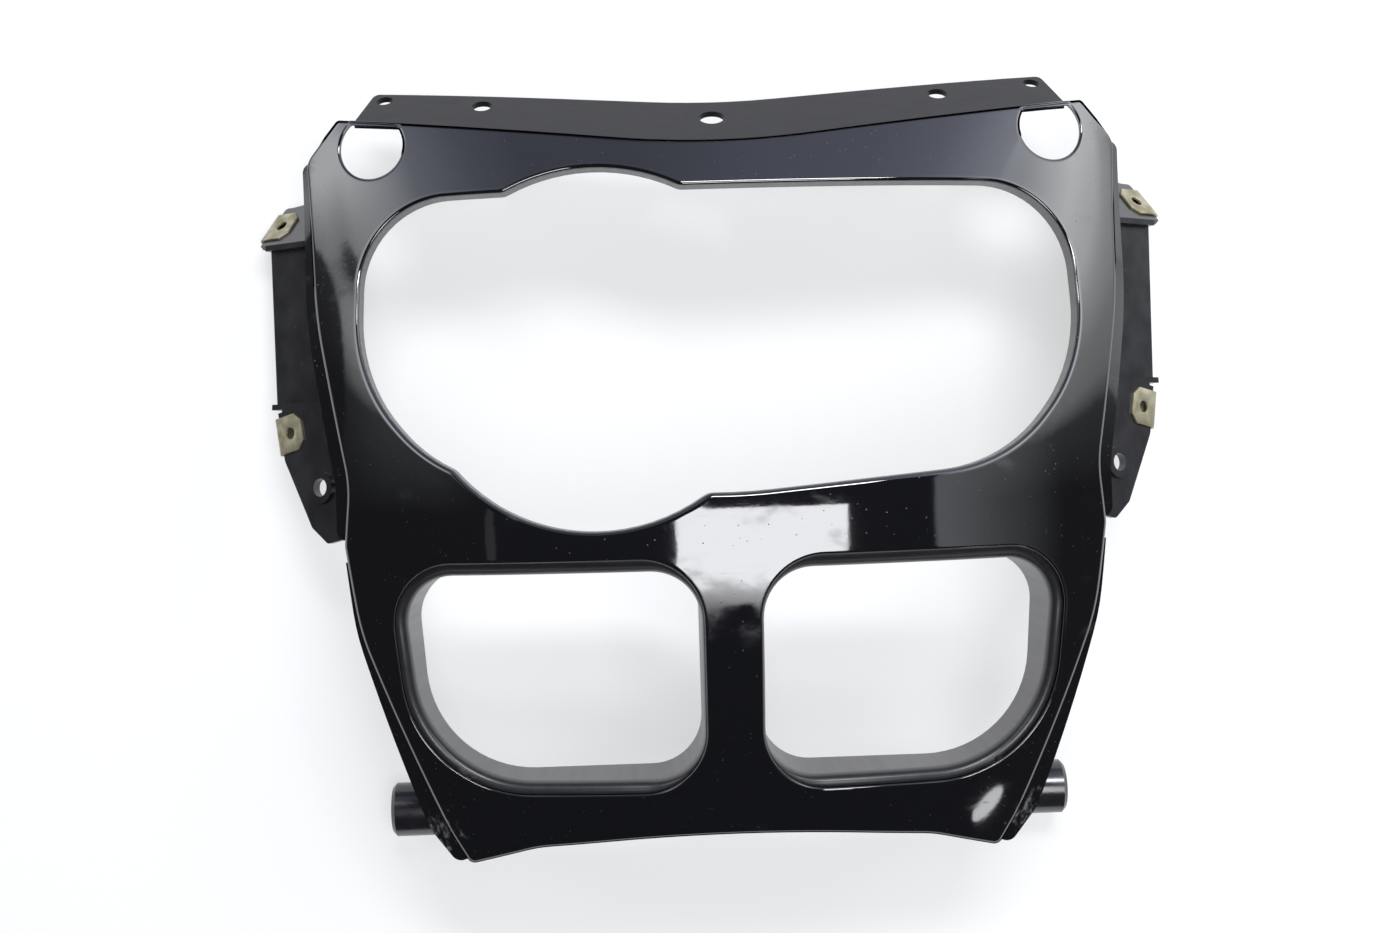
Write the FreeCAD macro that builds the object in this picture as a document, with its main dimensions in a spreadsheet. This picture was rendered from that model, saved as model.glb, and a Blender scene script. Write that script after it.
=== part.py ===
"""Motorcycle front fairing: the nose panel round the headlamp and the two lower air intakes.

The panel is one thin moulding that lies on its back with its face up. +X is to the right,
+Y runs towards the screen, +Z comes out of the face, and the origin is under the middle of
its box. Sizes are in millimetres. Four spring-steel clip nuts sit on the side flanges.
"""
import FreeCAD
import Part

import math
import os

from FreeCAD import Placement, Rotation, Vector

SIZES = [
    ("wall", 3.0, "wall of the moulding"),
    # The face is a smooth crown: five stations along Y, each with its height in the
    # middle and how far it has dropped at the reference half width.
    ("foot_y", -220.0, "station below the bottom edge"),
    ("foot_crown", 88.0, "its height in the middle"),
    ("foot_drop", 54.0, "its drop at the half width"),
    ("chin_y", -115.0, "station across the intakes"),
    ("chin_crown", 143.0, "its height in the middle"),
    ("chin_drop", 58.0, "its drop at the half width"),
    ("nose_y", -35.0, "station across the bridge, the highest part"),
    ("nose_crown", 160.0, "its height in the middle"),
    ("nose_drop", 60.0, "its drop at the half width"),
    ("brow_y", 70.0, "station across the lamp opening"),
    ("brow_crown", 140.0, "its height in the middle"),
    ("brow_drop", 54.0, "its drop at the half width"),
    ("crest_y", 215.0, "station above the top crease"),
    ("crest_crown", 66.0, "its height in the middle"),
    ("crest_drop", 8.0, "its drop at the half width"),
    ("crown_half_width", 200.0, "half width at which the drops are given"),
    ("crown_fullness", 0.35, "share of the drop that waits for the sides"),
    # Outline of the painted face, right half; the left half is its mirror image.
    ("crease_mid_y", 162.5, "top crease, middle"),
    ("crease_end_x", 195.5, "top crease, outer end"),
    ("crease_end_y", 187.0, "top crease, outer end"),
    ("crease_bend", 400.0, "radius of the dip in the top crease"),
    ("shoulder_x", 213.5, "shoulder below the cut corner"),
    ("shoulder_y", 166.0, "shoulder below the cut corner"),
    ("cheek_x", 207.0, "side edge beside the lamp"),
    ("cheek_y", 82.0, "side edge beside the lamp"),
    ("waist_x", 187.5, "narrowest point of the side edge"),
    ("waist_y", -4.0, "narrowest point of the side edge"),
    ("hip_x", 190.5, "corner where the side edge turns in"),
    ("hip_y", -34.0, "corner where the side edge turns in"),
    ("flank_x", 184.0, "start of the slanting lower edge"),
    ("flank_y", -78.0, "start of the slanting lower edge"),
    ("jaw_x", 145.5, "end of the slanting lower edge"),
    ("jaw_y", -181.0, "end of the slanting lower edge"),
    ("tip_x", 136.0, "lower tip of the face"),
    ("tip_y", -200.0, "lower tip of the face"),
    ("chin_edge_x", 100.0, "bottom edge beside the tip"),
    ("chin_edge_y", -189.5, "bottom edge beside the tip"),
    ("bottom_mid_y", -180.5, "bottom edge, middle"),
    ("bottom_bend", 700.0, "radius of the bow of the bottom edge"),
    ("crease_end_round", 3.0, "radius at the outer end of the crease"),
    ("shoulder_round", 12.0, "radius of the shoulder"),
    ("cheek_round", 250.0, "radius of the side edge beside the lamp"),
    ("waist_round", 60.0, "radius of the narrowest point"),
    ("hip_round", 14.0, "radius of the corner above the intake"),
    ("flank_round", 120.0, "radius at the start of the slanting edge"),
    ("jaw_round", 50.0, "radius at the end of the slanting edge"),
    ("tip_round", 4.0, "radius of the lower tip"),
    ("chin_edge_round", 60.0, "radius of the bottom edge beside the tip"),
    # Lamp opening: a wide rounded window with one round lamp beside its middle.
    ("lamp_x", -63.0, "middle of the round lamp"),
    ("lamp_y", 61.5, "middle of the round lamp"),
    ("lamp_radius", 91.0, "radius of the round lamp opening"),
    ("window_top_y", 141.0, "top edge of the window"),
    ("window_low_y", -2.5, "bottom corners of the window"),
    ("window_mid_y", -13.5, "middle of the window's bottom edge"),
    ("window_half_width", 182.0, "half width of the window"),
    ("window_low_half_width", 136.5, "half width at the bottom corners"),
    ("window_side_y", 48.0, "height of the side corners"),
    ("window_top_round", 46.0, "radius of the top corners"),
    ("window_side_round", 85.0, "radius of the side corners"),
    ("window_low_round", 80.0, "radius of the bottom corners"),
    ("window_mid_round", 250.0, "radius in the middle of the bottom edge"),
    ("lamp_blend", 9.0, "radius where lamp and window run together"),
    ("lip_depth", 16.0, "depth of the return lip round the lamp opening"),
    # Air intakes, right one; the left one is its mirror image.
    ("intake_in_x", 13.8, "inner side"),
    ("intake_out_top_x", 167.5, "outer side at the top"),
    ("intake_out_low_x", 159.5, "outer side at the bottom"),
    ("intake_top_y", -43.5, "top side"),
    ("intake_low_y", -160.5, "bottom side"),
    ("intake_in_top_round", 30.0, "radius of the inner top corner"),
    ("intake_out_top_round", 30.0, "radius of the outer top corner"),
    ("intake_out_low_round", 62.0, "radius of the outer bottom corner"),
    ("intake_in_low_round", 32.0, "radius of the inner bottom corner"),
    ("ledge_width", 6.0, "ledge inside the mouth"),
    ("ledge_in_width", 1.2, "ledge on the inner side of the mouth"),
    ("ledge_drop", 5.0, "depth of the ledge below the face"),
    ("duct_rear_z", 62.0, "rear edge of the duct walls"),
    # Screen strip behind the top crease.
    ("strip_slope", 51.0, "angle at which the strip falls away"),
    ("strip_mid_y", 190.0, "rear edge, middle"),
    ("strip_end_x", 178.5, "rear edge, outer end"),
    ("strip_end_y", 204.4, "rear edge, outer end"),
    ("strip_root_x", 186.5, "outer end at the crease"),
    ("screw_mid_radius", 6.6, "hole in the middle of the strip"),
    ("screw_inner_radius", 5.2, "inner pair of strip holes"),
    ("screw_outer_radius", 4.2, "outer pair of strip holes"),
    ("screw_inner_x", 120.0, "inner pair of strip holes"),
    ("screw_outer_x", 172.5, "outer pair of strip holes"),
    ("strip_lap", 1.2, "how far the strip starts inside the crease"),
    ("screw_back", 26.0, "distance of the holes from the crease, down the slope"),
    ("corner_hole_x", 177.0, "round hole in each top corner"),
    ("corner_hole_y", 171.0, "round hole in each top corner"),
    ("corner_hole_radius", 17.0, "round hole in each top corner"),
    ("corner_rim", 2.0, "rim left between that hole and the crease"),
    # Rebate band along the side edges, the skirt under it and the bottom return.
    ("band_step", 2.4, "depth of the band below the face"),
    ("band_lap", 5.0, "how far the band runs under the face"),
    ("band_top_width", 2.5, "width of the band at the shoulder"),
    ("band_mid_width", 6.0, "width beside the lamp"),
    ("band_low_width", 7.5, "width at the waist"),
    ("band_flank_width", 2.5, "width at the start of the slanting edge"),
    ("band_jaw_width", 11.0, "width at the jaw"),
    ("band_tip_width", 7.5, "width at the lower tip"),
    ("band_split", 5.5, "half of the break in the band at the hip"),
    ("band_end_round", 5.0, "radius of the corners of the band's ends"),
    ("return_depth", 9.0, "depth of the bottom return wall"),
    # Side flanges, right one; given at its lower nut.
    ("flange_x", 229.0, "lower nut hole"),
    ("flange_y", 24.7, "lower nut hole"),
    ("flange_z", 37.3, "lower nut hole, on the pad"),
    ("flange_tilt", 35.0, "slope of the flange, down to the outside"),
    ("flange_fall", 3.0, "slope of the flange, down towards the screen"),
    ("flange_recess", 4.0, "depth of the middle below the pads"),
    ("pad_edge", 8.0, "edge of a pad beyond its nut hole"),
    ("pad_half_width", 13.0, "half width of a pad"),
    ("pad_slot_half", 4.0, "half width of the open screw slot in a pad"),
    ("nut_turn", 12.0, "turn of the lower nut"),
    ("recess_start", 16.0, "start of the recessed middle, from the lower nut"),
    ("recess_end", 103.0, "end of the recessed middle, from the lower nut"),
    ("flange_edge_x", 241.5, "outer edge at the start of the recess"),
    ("pad_corner_x", 235.5, "outer edge of the lower pad there"),
    ("heel_x", 216.0, "corner of the slanting lower edge"),
    ("heel_y", -26.0, "corner of the slanting lower edge"),
    ("foot_x", 206.5, "lower end of the flange"),
    ("flange_foot_y", -34.5, "lower end of the flange"),
    ("flange_taper", 5.0, "how far the outer edge runs out along the recess"),
    ("bulge_x", 233.5, "where the outer edge starts to slant in"),
    ("bulge_y", 10.7, "where the outer edge starts to slant in"),
    ("flange_round", 3.0, "radius of the flange's corners"),
    ("bulge_round", 10.0, "radius where the outer edge starts to slant in"),
    ("root_depth", 2.0, "how far the flange runs into the skirt"),
    ("upper_pad_tilt", 38.0, "extra slope of the upper pad"),
    ("upper_nut_y", 14.0, "upper nut hole from the fold of its pad"),
    ("upper_pad_length", 30.0, "length of the upper pad at its outer edge"),
    ("upper_pad_root", 36.0, "length of the upper pad at the skirt"),
    ("upper_nut_x", 17.2, "upper nut hole, to the outside of the lower one"),
    ("dowel_x", -23.0, "dowel hole from the lower nut, across the flange"),
    ("dowel_y", -29.5, "dowel hole from the lower nut, along the flange"),
    ("dowel_radius", 4.8, "dowel hole"),
    ("dowel_boss_radius", 8.5, "raised rim round the dowel hole"),
    ("dowel_boss_height", 1.6, "raised rim round the dowel hole"),
    # Pegs under the lower corners.
    ("peg_radius", 14.5, "locating peg"),
    ("peg_y", -182.5, "axis of the pegs"),
    ("peg_z", 15.5, "axis of the pegs"),
    ("peg_end_x", 184.0, "outer end of the right peg"),
    ("peg_bevel", 2.0, "bevel of that end"),
    ("ear_x", 132.0, "inner face of the ear that carries the peg"),
    ("ear_low_y", -198.0, "lower side of the ear"),
    ("ear_high_y", -151.0, "upper side of the ear"),
    ("ear_low_z", 0.0, "rear end of the ear"),
    ("ear_round", 12.0, "radius of the ear's corners"),
    # Clip nuts.
    ("clip_sheet", 1.2, "spring steel of a clip nut"),
    ("clip_width", 20.0, "width of a clip nut"),
    ("clip_reach", 8.5, "tip of a clip nut beyond its hole"),
    ("clip_corner", 4.5, "cut corner at its tip"),
    ("clip_gap", 0.3, "clearance between the clip and the pad"),
    ("clip_hole_radius", 3.2, "screw hole in the upper leg"),
    ("thread_radius", 2.5, "core of the thread"),
    ("collar_half", 4.2, "half width of the square threaded collar"),
    ("collar_length", 4.5, "length of the threaded collar"),
]

# Room for the cutting tools: every prism runs right through the part.
PRISM_TOP = 260.0
SKIN_HALF_X = 240.0
SKIN_HALF_Y = 225.0
SKIN_COLUMNS = 9
SKIN_ROWS = 7
ROOT_POINTS = 5
DOWN = Vector(0, 0, -1)
UP = Vector(0, 0, 1)

doc = FreeCAD.newDocument("front_fairing")
sheet = doc.addObject("Spreadsheet::Sheet", "Sizes")
for row, (alias, value, note) in enumerate(SIZES, start=1):
    sheet.set(f"A{row}", alias)
    sheet.set(f"B{row}", str(value))
    sheet.set(f"C{row}", note)
    sheet.setAlias(f"B{row}", alias)
doc.recompute()


def size(alias):
    """The value of one cell of the sheet."""
    return float(sheet.get(alias))


def along_y(kind, y):
    """Smooth value at y through the five stations of the crown."""
    names = ("foot", "chin", "nose", "brow", "crest")
    total = 0.0
    for name in names:
        weight = 1.0
        for other in names:
            if other != name:
                span = size(name + "_y") - size(other + "_y")
                weight *= (y - size(other + "_y")) / span
        total += weight * size(f"{name}_{kind}")
    return total


def skin_height(x, y):
    """Height of the painted face at a point of the plan."""
    side = x / size("crown_half_width")
    late = size("crown_fullness")
    return along_y("crown", y) - along_y("drop", y) * ((1 - late) * side ** 2 + late * side ** 4)


def skin_point(x, y, inset):
    """A point under the face, inset along the face's own normal."""
    reach = 0.5
    slope_x = (skin_height(x + reach, y) - skin_height(x - reach, y)) / (2 * reach)
    slope_y = (skin_height(x, y + reach) - skin_height(x, y - reach)) / (2 * reach)
    normal = Vector(-slope_x, -slope_y, 1).normalize()
    return Vector(x, y, skin_height(x, y)) - normal * inset


def skin_face(name, inset):
    """A smooth face through a grid of points on, or inset under, the crown."""
    grid = []
    for i in range(SKIN_COLUMNS):
        x = SKIN_HALF_X * (2 * i / (SKIN_COLUMNS - 1) - 1)
        rows = [SKIN_HALF_Y * (2 * j / (SKIN_ROWS - 1) - 1) for j in range(SKIN_ROWS)]
        grid.append([skin_point(x, y, inset) for y in rows])
    surface = Part.BSplineSurface()
    surface.interpolate(grid)
    feature = doc.addObject("Part::Feature", name)
    feature.Shape = surface.toShape()
    return feature


def rounded_edges(corners):
    """Lines and tangent arcs round a closed outline of (x, y, radius) corners."""
    count = len(corners)
    spans = []
    for i, (x, y, radius) in enumerate(corners):
        here = Vector(x, y, 0)
        before = Vector(*corners[i - 1][:2], 0) - here
        after = Vector(*corners[(i + 1) % count][:2], 0) - here
        half_angle = before.getAngle(after) / 2
        reach = radius / math.tan(half_angle)
        before.normalize()
        after.normalize()
        middle = here + (before + after).normalize() * (radius / math.sin(half_angle) - radius)
        spans.append((here + before * reach, middle, here + after * reach))
    pieces = []
    for i, (start, middle, end) in enumerate(spans):
        if corners[i][2] > 0:
            pieces.append(Part.Arc(start, middle, end))
        pieces.append(Part.LineSegment(end, spans[(i + 1) % count][0]))
    return pieces


def outline(name, corners):
    """A sketch of a closed outline with rounded corners, in plan."""
    sketch = doc.addObject("Sketcher::SketchObject", name)
    sketch.addGeometry(rounded_edges(corners), False)
    return sketch


def grown(name, source, expression):
    """The same outline, moved outwards by a size of the sheet."""
    offset = doc.addObject("Part::Offset2D", name)
    offset.Source = source
    offset.setExpression("Value", expression)
    return offset


def extrusion(name, base, direction, forward, backward="0"):
    """A prism whose lengths are bound to the sheet."""
    prism = doc.addObject("Part::Extrusion", name)
    prism.Base = base
    prism.DirMode = "Custom"
    prism.Dir = direction
    prism.setExpression("LengthFwd", forward)
    prism.setExpression("LengthRev", backward)
    prism.Solid = True
    return prism


def prism_up(name, base, start="0"):
    """A prism from the height named start to above the whole part."""
    return extrusion(name, base, UP, str(PRISM_TOP), f"-({start})")


def slab(name, start, depth):
    """The layer between two depths under the painted face."""
    return extrusion(name, outer_skin, DOWN, f"{start} + {depth}", f"-({start})")


def cut(name, base, tool):
    feature = doc.addObject("Part::Cut", name)
    feature.Base = base
    feature.Tool = tool
    return feature


def common(name, *shapes):
    feature = doc.addObject("Part::MultiCommon", name)
    feature.Shapes = list(shapes)
    return feature


def fuse(name, *shapes):
    feature = doc.addObject("Part::MultiFuse", name)
    feature.Shapes = list(shapes)
    return feature


def cylinder(name, radius, height, placement):
    feature = doc.addObject("Part::Cylinder", name)
    feature.setExpression("Radius", radius)
    feature.setExpression("Height", height)
    feature.Placement = placement
    return feature


def block(name, low, high, placement=Placement()):
    """A box between two opposite corners, in the frame of its placement."""
    feature = doc.addObject("Part::Box", name)
    feature.Length = high[0] - low[0]
    feature.Width = high[1] - low[1]
    feature.Height = high[2] - low[2]
    feature.Placement = placement.multiply(Placement(Vector(*low), Rotation()))
    return feature


def mirrored(name, source):
    """The same form on the other side of the bike's middle plane."""
    feature = doc.addObject("Part::Mirroring", name)
    feature.Source = source
    feature.Normal = Vector(1, 0, 0)
    return feature


def rounded(name, base, radius, edge_numbers):
    feature = doc.addObject("Part::Fillet", name)
    feature.Base = base
    feature.Edges = [(number, radius, radius) for number in edge_numbers]
    return feature


def edges_where(shape, test):
    """Numbers of the edges whose middle point and direction pass the test."""
    numbers = []
    for number, edge in enumerate(shape.Edges, start=1):
        middle = (edge.FirstParameter + edge.LastParameter) / 2
        if test(edge.valueAt(middle), edge.tangentAt(middle)):
            numbers.append(number)
    return numbers


# The crown of the face and the face plate
outer_skin = skin_face("outer_skin", 0.0)
inner_skin = skin_face("inner_skin", size("wall"))


def corner(name):
    """One rounded corner of the face outline."""
    return size(name + "_x"), size(name + "_y"), size(name + "_round")


half_names = ("crease_end", "shoulder", "cheek", "waist", "hip", "flank", "jaw", "tip", "chin_edge")
face_half = [corner(name) for name in half_names]
face_corners = [(0.0, size("crease_mid_y"), size("crease_bend"))]
face_corners += face_half
face_corners += [(0.0, size("bottom_mid_y"), size("bottom_bend"))]
face_corners += [(-x, y, radius) for x, y, radius in reversed(face_half)]
face_outline = outline("face_outline", face_corners)
face_prism = prism_up("face_prism", face_outline)
under_outer = extrusion("under_outer_skin", outer_skin, DOWN, str(PRISM_TOP))
under_inner = extrusion("under_inner_skin", inner_skin, DOWN, str(PRISM_TOP))
body = common("face_body", under_outer, face_prism)

# Lamp opening
window_corners = [
    (-size("window_half_width"), size("window_top_y"), size("window_top_round")),
    (size("window_half_width"), size("window_top_y"), size("window_top_round")),
    (size("window_half_width"), size("window_side_y"), size("window_side_round")),
    (size("window_low_half_width"), size("window_low_y"), size("window_low_round")),
    (0.0, size("window_mid_y"), size("window_mid_round")),
    (-size("window_low_half_width"), size("window_low_y"), size("window_low_round")),
    (-size("window_half_width"), size("window_side_y"), size("window_side_round")),
]
window_outline = outline("window_outline", window_corners)
lip_outline = grown("lip_outline", window_outline, "Sizes.wall")
lamp_place = Placement(Vector(size("lamp_x"), size("lamp_y"), 0), Rotation())


def lamp_tool(name, window, radius, blend):
    """Window and round lamp run together, with rounded corners where they meet."""
    round_lamp = cylinder(name + "_round", radius, str(PRISM_TOP), lamp_place)
    joined = fuse(name + "_joined", prism_up(name + "_window", window), round_lamp)
    joined.Refine = True
    doc.recompute()
    centre = Vector(size("lamp_x"), size("lamp_y"), 0)
    reach = round_lamp.Radius.Value
    window_face = Part.Face(Part.Wire(window.Shape.Wires[0].Edges))

    def is_meeting(point, direction):
        level = Vector(point.x, point.y, 0)
        on_lamp = abs((level - centre).Length - reach) < 0.01
        on_window = window_face.distToShape(Part.Vertex(level))[0] < 0.01
        return abs(direction.z) > 0.9 and on_lamp and on_window

    return rounded(name, joined, blend, edges_where(joined.Shape, is_meeting))


lamp_hole = lamp_tool("lamp_hole", window_outline, "Sizes.lamp_radius", size("lamp_blend"))
lip_blend = size("lamp_blend") - size("wall")
lamp_lip_outside = lamp_tool(
    "lamp_lip_outside", lip_outline, "Sizes.lamp_radius + Sizes.wall", lip_blend)

# Air intakes
intake_corners = [
    (size("intake_in_x"), size("intake_top_y"), size("intake_in_top_round")),
    (size("intake_out_top_x"), size("intake_top_y"), size("intake_out_top_round")),
    (size("intake_out_low_x"), size("intake_low_y"), size("intake_out_low_round")),
    (size("intake_in_x"), size("intake_low_y"), size("intake_in_low_round")),
]
intake_outline = outline("intake_outline", intake_corners)
mouth = prism_up("intake_mouth", intake_outline)
mouth_left = mirrored("intake_mouth_left", mouth)

# Round holes in the top corners, each with a rim left along the crease
corner_place = Placement(Vector(size("corner_hole_x"), size("corner_hole_y"), 0), Rotation())
corner_round = cylinder("corner_round", "Sizes.corner_hole_radius", str(PRISM_TOP), corner_place)
rim_outline = grown("rim_outline", face_outline, "-Sizes.corner_rim")
corner_hole = common("corner_hole", corner_round, prism_up("rim_prism", rim_outline))
corner_hole_left = mirrored("corner_hole_left", corner_hole)

openings = fuse("openings", lamp_hole, mouth, mouth_left, corner_hole, corner_hole_left)
shell = cut("shell", body, under_inner)
face = cut("face", shell, openings)

# Return lip round the lamp opening
lip_ring = cut("lip_ring", lamp_lip_outside, lamp_hole)
lip_layer = slab("lip_layer", "Sizes.wall / 2", "Sizes.lip_depth - Sizes.wall / 2")
lip = common("lamp_lip", lip_ring, lip_layer)

# Rim, ledge and duct walls of an intake
ledge_in_x = size("intake_in_x") + size("ledge_in_width")
ledge_top_y = size("intake_top_y") - size("ledge_width")
ledge_low_y = size("intake_low_y") + size("ledge_width")
ledge_outline = outline("ledge_outline", [
    (ledge_in_x, ledge_top_y, size("intake_in_top_round") - size("ledge_width")),
    (size("intake_out_top_x") - size("ledge_width"), ledge_top_y,
     size("intake_out_top_round") - size("ledge_width")),
    (size("intake_out_low_x") - size("ledge_width"), ledge_low_y,
     size("intake_out_low_round") - size("ledge_width")),
    (ledge_in_x, ledge_low_y, size("intake_in_low_round") - size("ledge_width")),
])
ledge_inside = prism_up("ledge_inside", ledge_outline)
rim_outside = prism_up("rim_outside", grown("rim_wall_outline", intake_outline, "Sizes.wall"))
rim_body = common(
    "rim_body", cut("rim_ring", rim_outside, ledge_inside),
    slab("rim_layer", "Sizes.wall / 2", "Sizes.ledge_drop + Sizes.wall / 2"))
above_ledge = slab("above_ledge", "-Sizes.ledge_width", "Sizes.ledge_width + Sizes.ledge_drop")
rim_recess = common("rim_recess", mouth, above_ledge)
rim = cut("intake_rim", rim_body, rim_recess)
duct_outline = grown("duct_outline", ledge_outline, "Sizes.wall")
duct_outside = prism_up("duct_outside", duct_outline, "Sizes.duct_rear_z")
duct = common(
    "intake_duct", cut("duct_ring", duct_outside, ledge_inside),
    slab("duct_layer", "Sizes.ledge_drop + Sizes.wall / 2", str(PRISM_TOP)))
intake = fuse("intake", rim, duct)

# Rebate band along the side edge, with the skirt under its upper part
band_split_y = size("hip_y") - size("band_split") / 2
band_upper_end = band_split_y + size("band_split")
band_lower_end = band_split_y - size("band_split")
waist_edge = size("waist_x") + size("band_low_width")
band_upper_corners = [
    (size("shoulder_x") - size("band_lap"), size("shoulder_y"), 0.0),
    (size("shoulder_x") + size("band_top_width"), size("shoulder_y"), size("band_end_round")),
    (size("cheek_x") + size("band_mid_width"), size("cheek_y"), size("cheek_round")),
    (waist_edge, size("waist_y"), size("waist_round")),
    (waist_edge, band_upper_end, size("band_end_round")),
    (size("waist_x") - size("band_lap"), band_upper_end, 0.0),
    (size("waist_x") - size("band_lap"), size("waist_y"), size("waist_round")),
    (size("cheek_x") - size("band_lap"), size("cheek_y"), size("cheek_round")),
]
band_upper_outline = outline("band_upper_outline", band_upper_corners)
band_layer = slab("band_layer", "Sizes.band_step", "Sizes.wall")
band_upper_prism = prism_up("band_upper_prism", band_upper_outline)
band_upper = common("band_upper", band_upper_prism, band_layer)
band_lower_corners = [
    (size("hip_x") - size("band_lap"), band_lower_end, 0.0),
    (size("hip_x"), band_lower_end, 0.0),
    (size("flank_x") + size("band_flank_width"), size("flank_y"), size("flank_round")),
    (size("jaw_x") + size("band_jaw_width"), size("jaw_y"), size("jaw_round") / 2),
    (size("tip_x") + size("band_tip_width"), size("tip_y"), size("band_end_round")),
    (size("tip_x") - size("band_lap"), size("tip_y") + size("band_lap"), 0.0),
    (size("jaw_x") - size("band_lap"), size("jaw_y"), size("jaw_round")),
    (size("flank_x") - size("band_lap"), size("flank_y"), size("flank_round")),
]
band_lower_outline = outline("band_lower_outline", band_lower_corners)
band_lower = common("band_lower", prism_up("band_lower_prism", band_lower_outline), band_layer)

# Frame of a side flange: its origin is the lower nut hole, its XY plane the pads' top
tilt = Rotation(Vector(0, 1, 0), size("flange_tilt"))
fall = Rotation(Vector(1, 0, 0), -size("flange_fall"))
lower_nut_hole = Vector(size("flange_x"), size("flange_y"), size("flange_z"))
flange_frame = Placement(lower_nut_hole, tilt.multiply(fall))
across = 1 / math.cos(math.radians(size("flange_tilt")))


def flange_point(x, y, radius=0.0):
    """A corner of the flange, from a point of the plan."""
    return ((x - size("flange_x")) * across, y - size("flange_y"), radius)


# The upper pad folds down from the end of the recessed middle
fold_down = Rotation(Vector(1, 0, 0), -size("upper_pad_tilt"))
hinge = Placement(Vector(0, size("recess_end"), 0), fold_down)
upper_pad_frame = flange_frame.multiply(hinge)
lower_nut_turn = Placement(Vector(), Rotation(UP, -size("nut_turn")))
lower_nut_frame = flange_frame.multiply(lower_nut_turn)
upper_nut_place = Placement(Vector(size("upper_nut_x"), size("upper_nut_y"), 0), Rotation())
upper_nut_frame = upper_pad_frame.multiply(upper_nut_place)

# Skirt from the band down to the flange
floor_low = (-PRISM_TOP, -PRISM_TOP, -size("wall"))
pad_low = (-PRISM_TOP, 0, -size("wall"))
above_flange = block(
    "above_flange", floor_low, (PRISM_TOP, size("recess_end"), PRISM_TOP), flange_frame)
above_upper_pad = block(
    "above_upper_pad", pad_low, (PRISM_TOP, size("upper_pad_root"), PRISM_TOP), upper_pad_frame)
skirt_room = fuse("skirt_room", above_flange, above_upper_pad)
band_shifted = prism_up("band_shifted", band_upper_outline)
band_shifted.Placement = Placement(Vector(-size("wall"), 0, 0), Rotation())
skirt_ring = cut("skirt_ring", band_upper_prism, band_shifted)
skirt_layer = slab("skirt_layer", "Sizes.band_step + Sizes.wall / 2", str(PRISM_TOP))
skirt = common("skirt", skirt_ring, skirt_room, skirt_layer)

# Side flange in its own frame: pads at the nuts, a recessed middle and a dowel hole
recess_low = size("recess_start") + size("flange_y")
recess_high = size("recess_end") + size("flange_y")
waist_root = waist_edge - size("root_depth")
cheek_root = size("cheek_x") + size("band_mid_width") - size("root_depth")
recess_edge = size("flange_edge_x") + size("flange_taper")
root_slope = (cheek_root - waist_root) / (size("cheek_y") - size("waist_y"))


def root_x(y):
    """Inner edge of the flange, hidden in the skirt."""
    return waist_root + root_slope * (min(y, size("cheek_y")) - size("waist_y"))


def flange_plate(name, corners, top):
    """A plate of the flange, as thick as the wall, with its top at a depth under the pads."""
    plate = prism_up(name, outline(name + "_outline", corners), "0")
    plate.setExpression("LengthFwd", f"-({top})")
    plate.setExpression("LengthRev", f"{top} + Sizes.wall")
    return plate


lower_plate = flange_plate("lower_plate", [
    flange_point(root_x(recess_low), recess_low),
    flange_point(size("pad_corner_x"), recess_low, size("flange_round")),
    flange_point(size("bulge_x"), size("bulge_y"), size("bulge_round")),
    flange_point(size("heel_x"), size("heel_y"), size("flange_round")),
    flange_point(size("foot_x"), size("flange_foot_y"), size("flange_round")),
    flange_point(waist_root, band_upper_end),
    flange_point(waist_root, size("waist_y")),
], "0")
middle_plate = flange_plate("middle_plate", [
    flange_point(root_x(recess_low), recess_low - size("wall")),
    flange_point(size("flange_edge_x"), recess_low - size("wall")),
    flange_point(recess_edge, recess_high),
    flange_point(root_x(recess_high), recess_high),
    flange_point(cheek_root, size("cheek_y")),
], "Sizes.flange_recess")


def step_wall(name, y, end_x):
    """Wall between a pad and the recessed middle, from the skirt to the flange's edge."""
    start, _, _ = flange_point(root_x(y + size("flange_y")), 0)
    end, _, _ = flange_point(end_x, 0)
    low = (start, y, -size("flange_recess") - size("wall"))
    return block(name, low, (end, y + size("wall"), 0))


lower_step = step_wall("lower_step", size("recess_start") - size("wall"), size("flange_edge_x"))
upper_step = step_wall("upper_step", size("recess_end") - size("wall"), recess_edge)
pad_inside, _, _ = flange_point(root_x(recess_high), 0)
pad_outside = size("upper_nut_x") + size("pad_edge")
upper_pad = flange_plate("upper_pad", [
    (pad_inside, 0.0, 0.0),
    (pad_outside, 0.0, 0.0),
    (pad_outside, size("upper_pad_length"), size("root_depth")),
    (pad_outside - 2 * size("wall"), size("upper_pad_length"), size("root_depth")),
    (pad_inside, size("upper_pad_root"), 0.0),
], "0")
upper_pad.Placement = hinge
lower_pad = block(
    "lower_pad", (-size("pad_half_width"), -size("pad_half_width"), -size("wall")),
    (size("pad_edge"), size("pad_half_width"), 0), lower_nut_turn)
dowel_place = Placement(Vector(size("dowel_x"), size("dowel_y"), -size("wall")), Rotation())
dowel_height = "Sizes.wall + Sizes.dowel_boss_height"
dowel_boss = cylinder("dowel_boss", "Sizes.dowel_boss_radius", dowel_height, dowel_place)
dowel_hole = cylinder("dowel_hole", "Sizes.dowel_radius", "4 * Sizes.wall", dowel_place)
slot_low = (-size("pad_slot_half"), -size("pad_slot_half"), -3 * size("wall"))
slot_high = (2 * size("pad_edge"), size("pad_slot_half"), 3 * size("wall"))
lower_slot = block("lower_pad_slot", slot_low, slot_high, lower_nut_turn)
upper_slot = block("upper_pad_slot", slot_low, slot_high, hinge.multiply(upper_nut_place))
plates = [lower_plate, middle_plate, lower_step, upper_step, upper_pad, lower_pad, dowel_boss]
flange_holes = fuse("flange_holes", dowel_hole, lower_slot, upper_slot)
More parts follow.
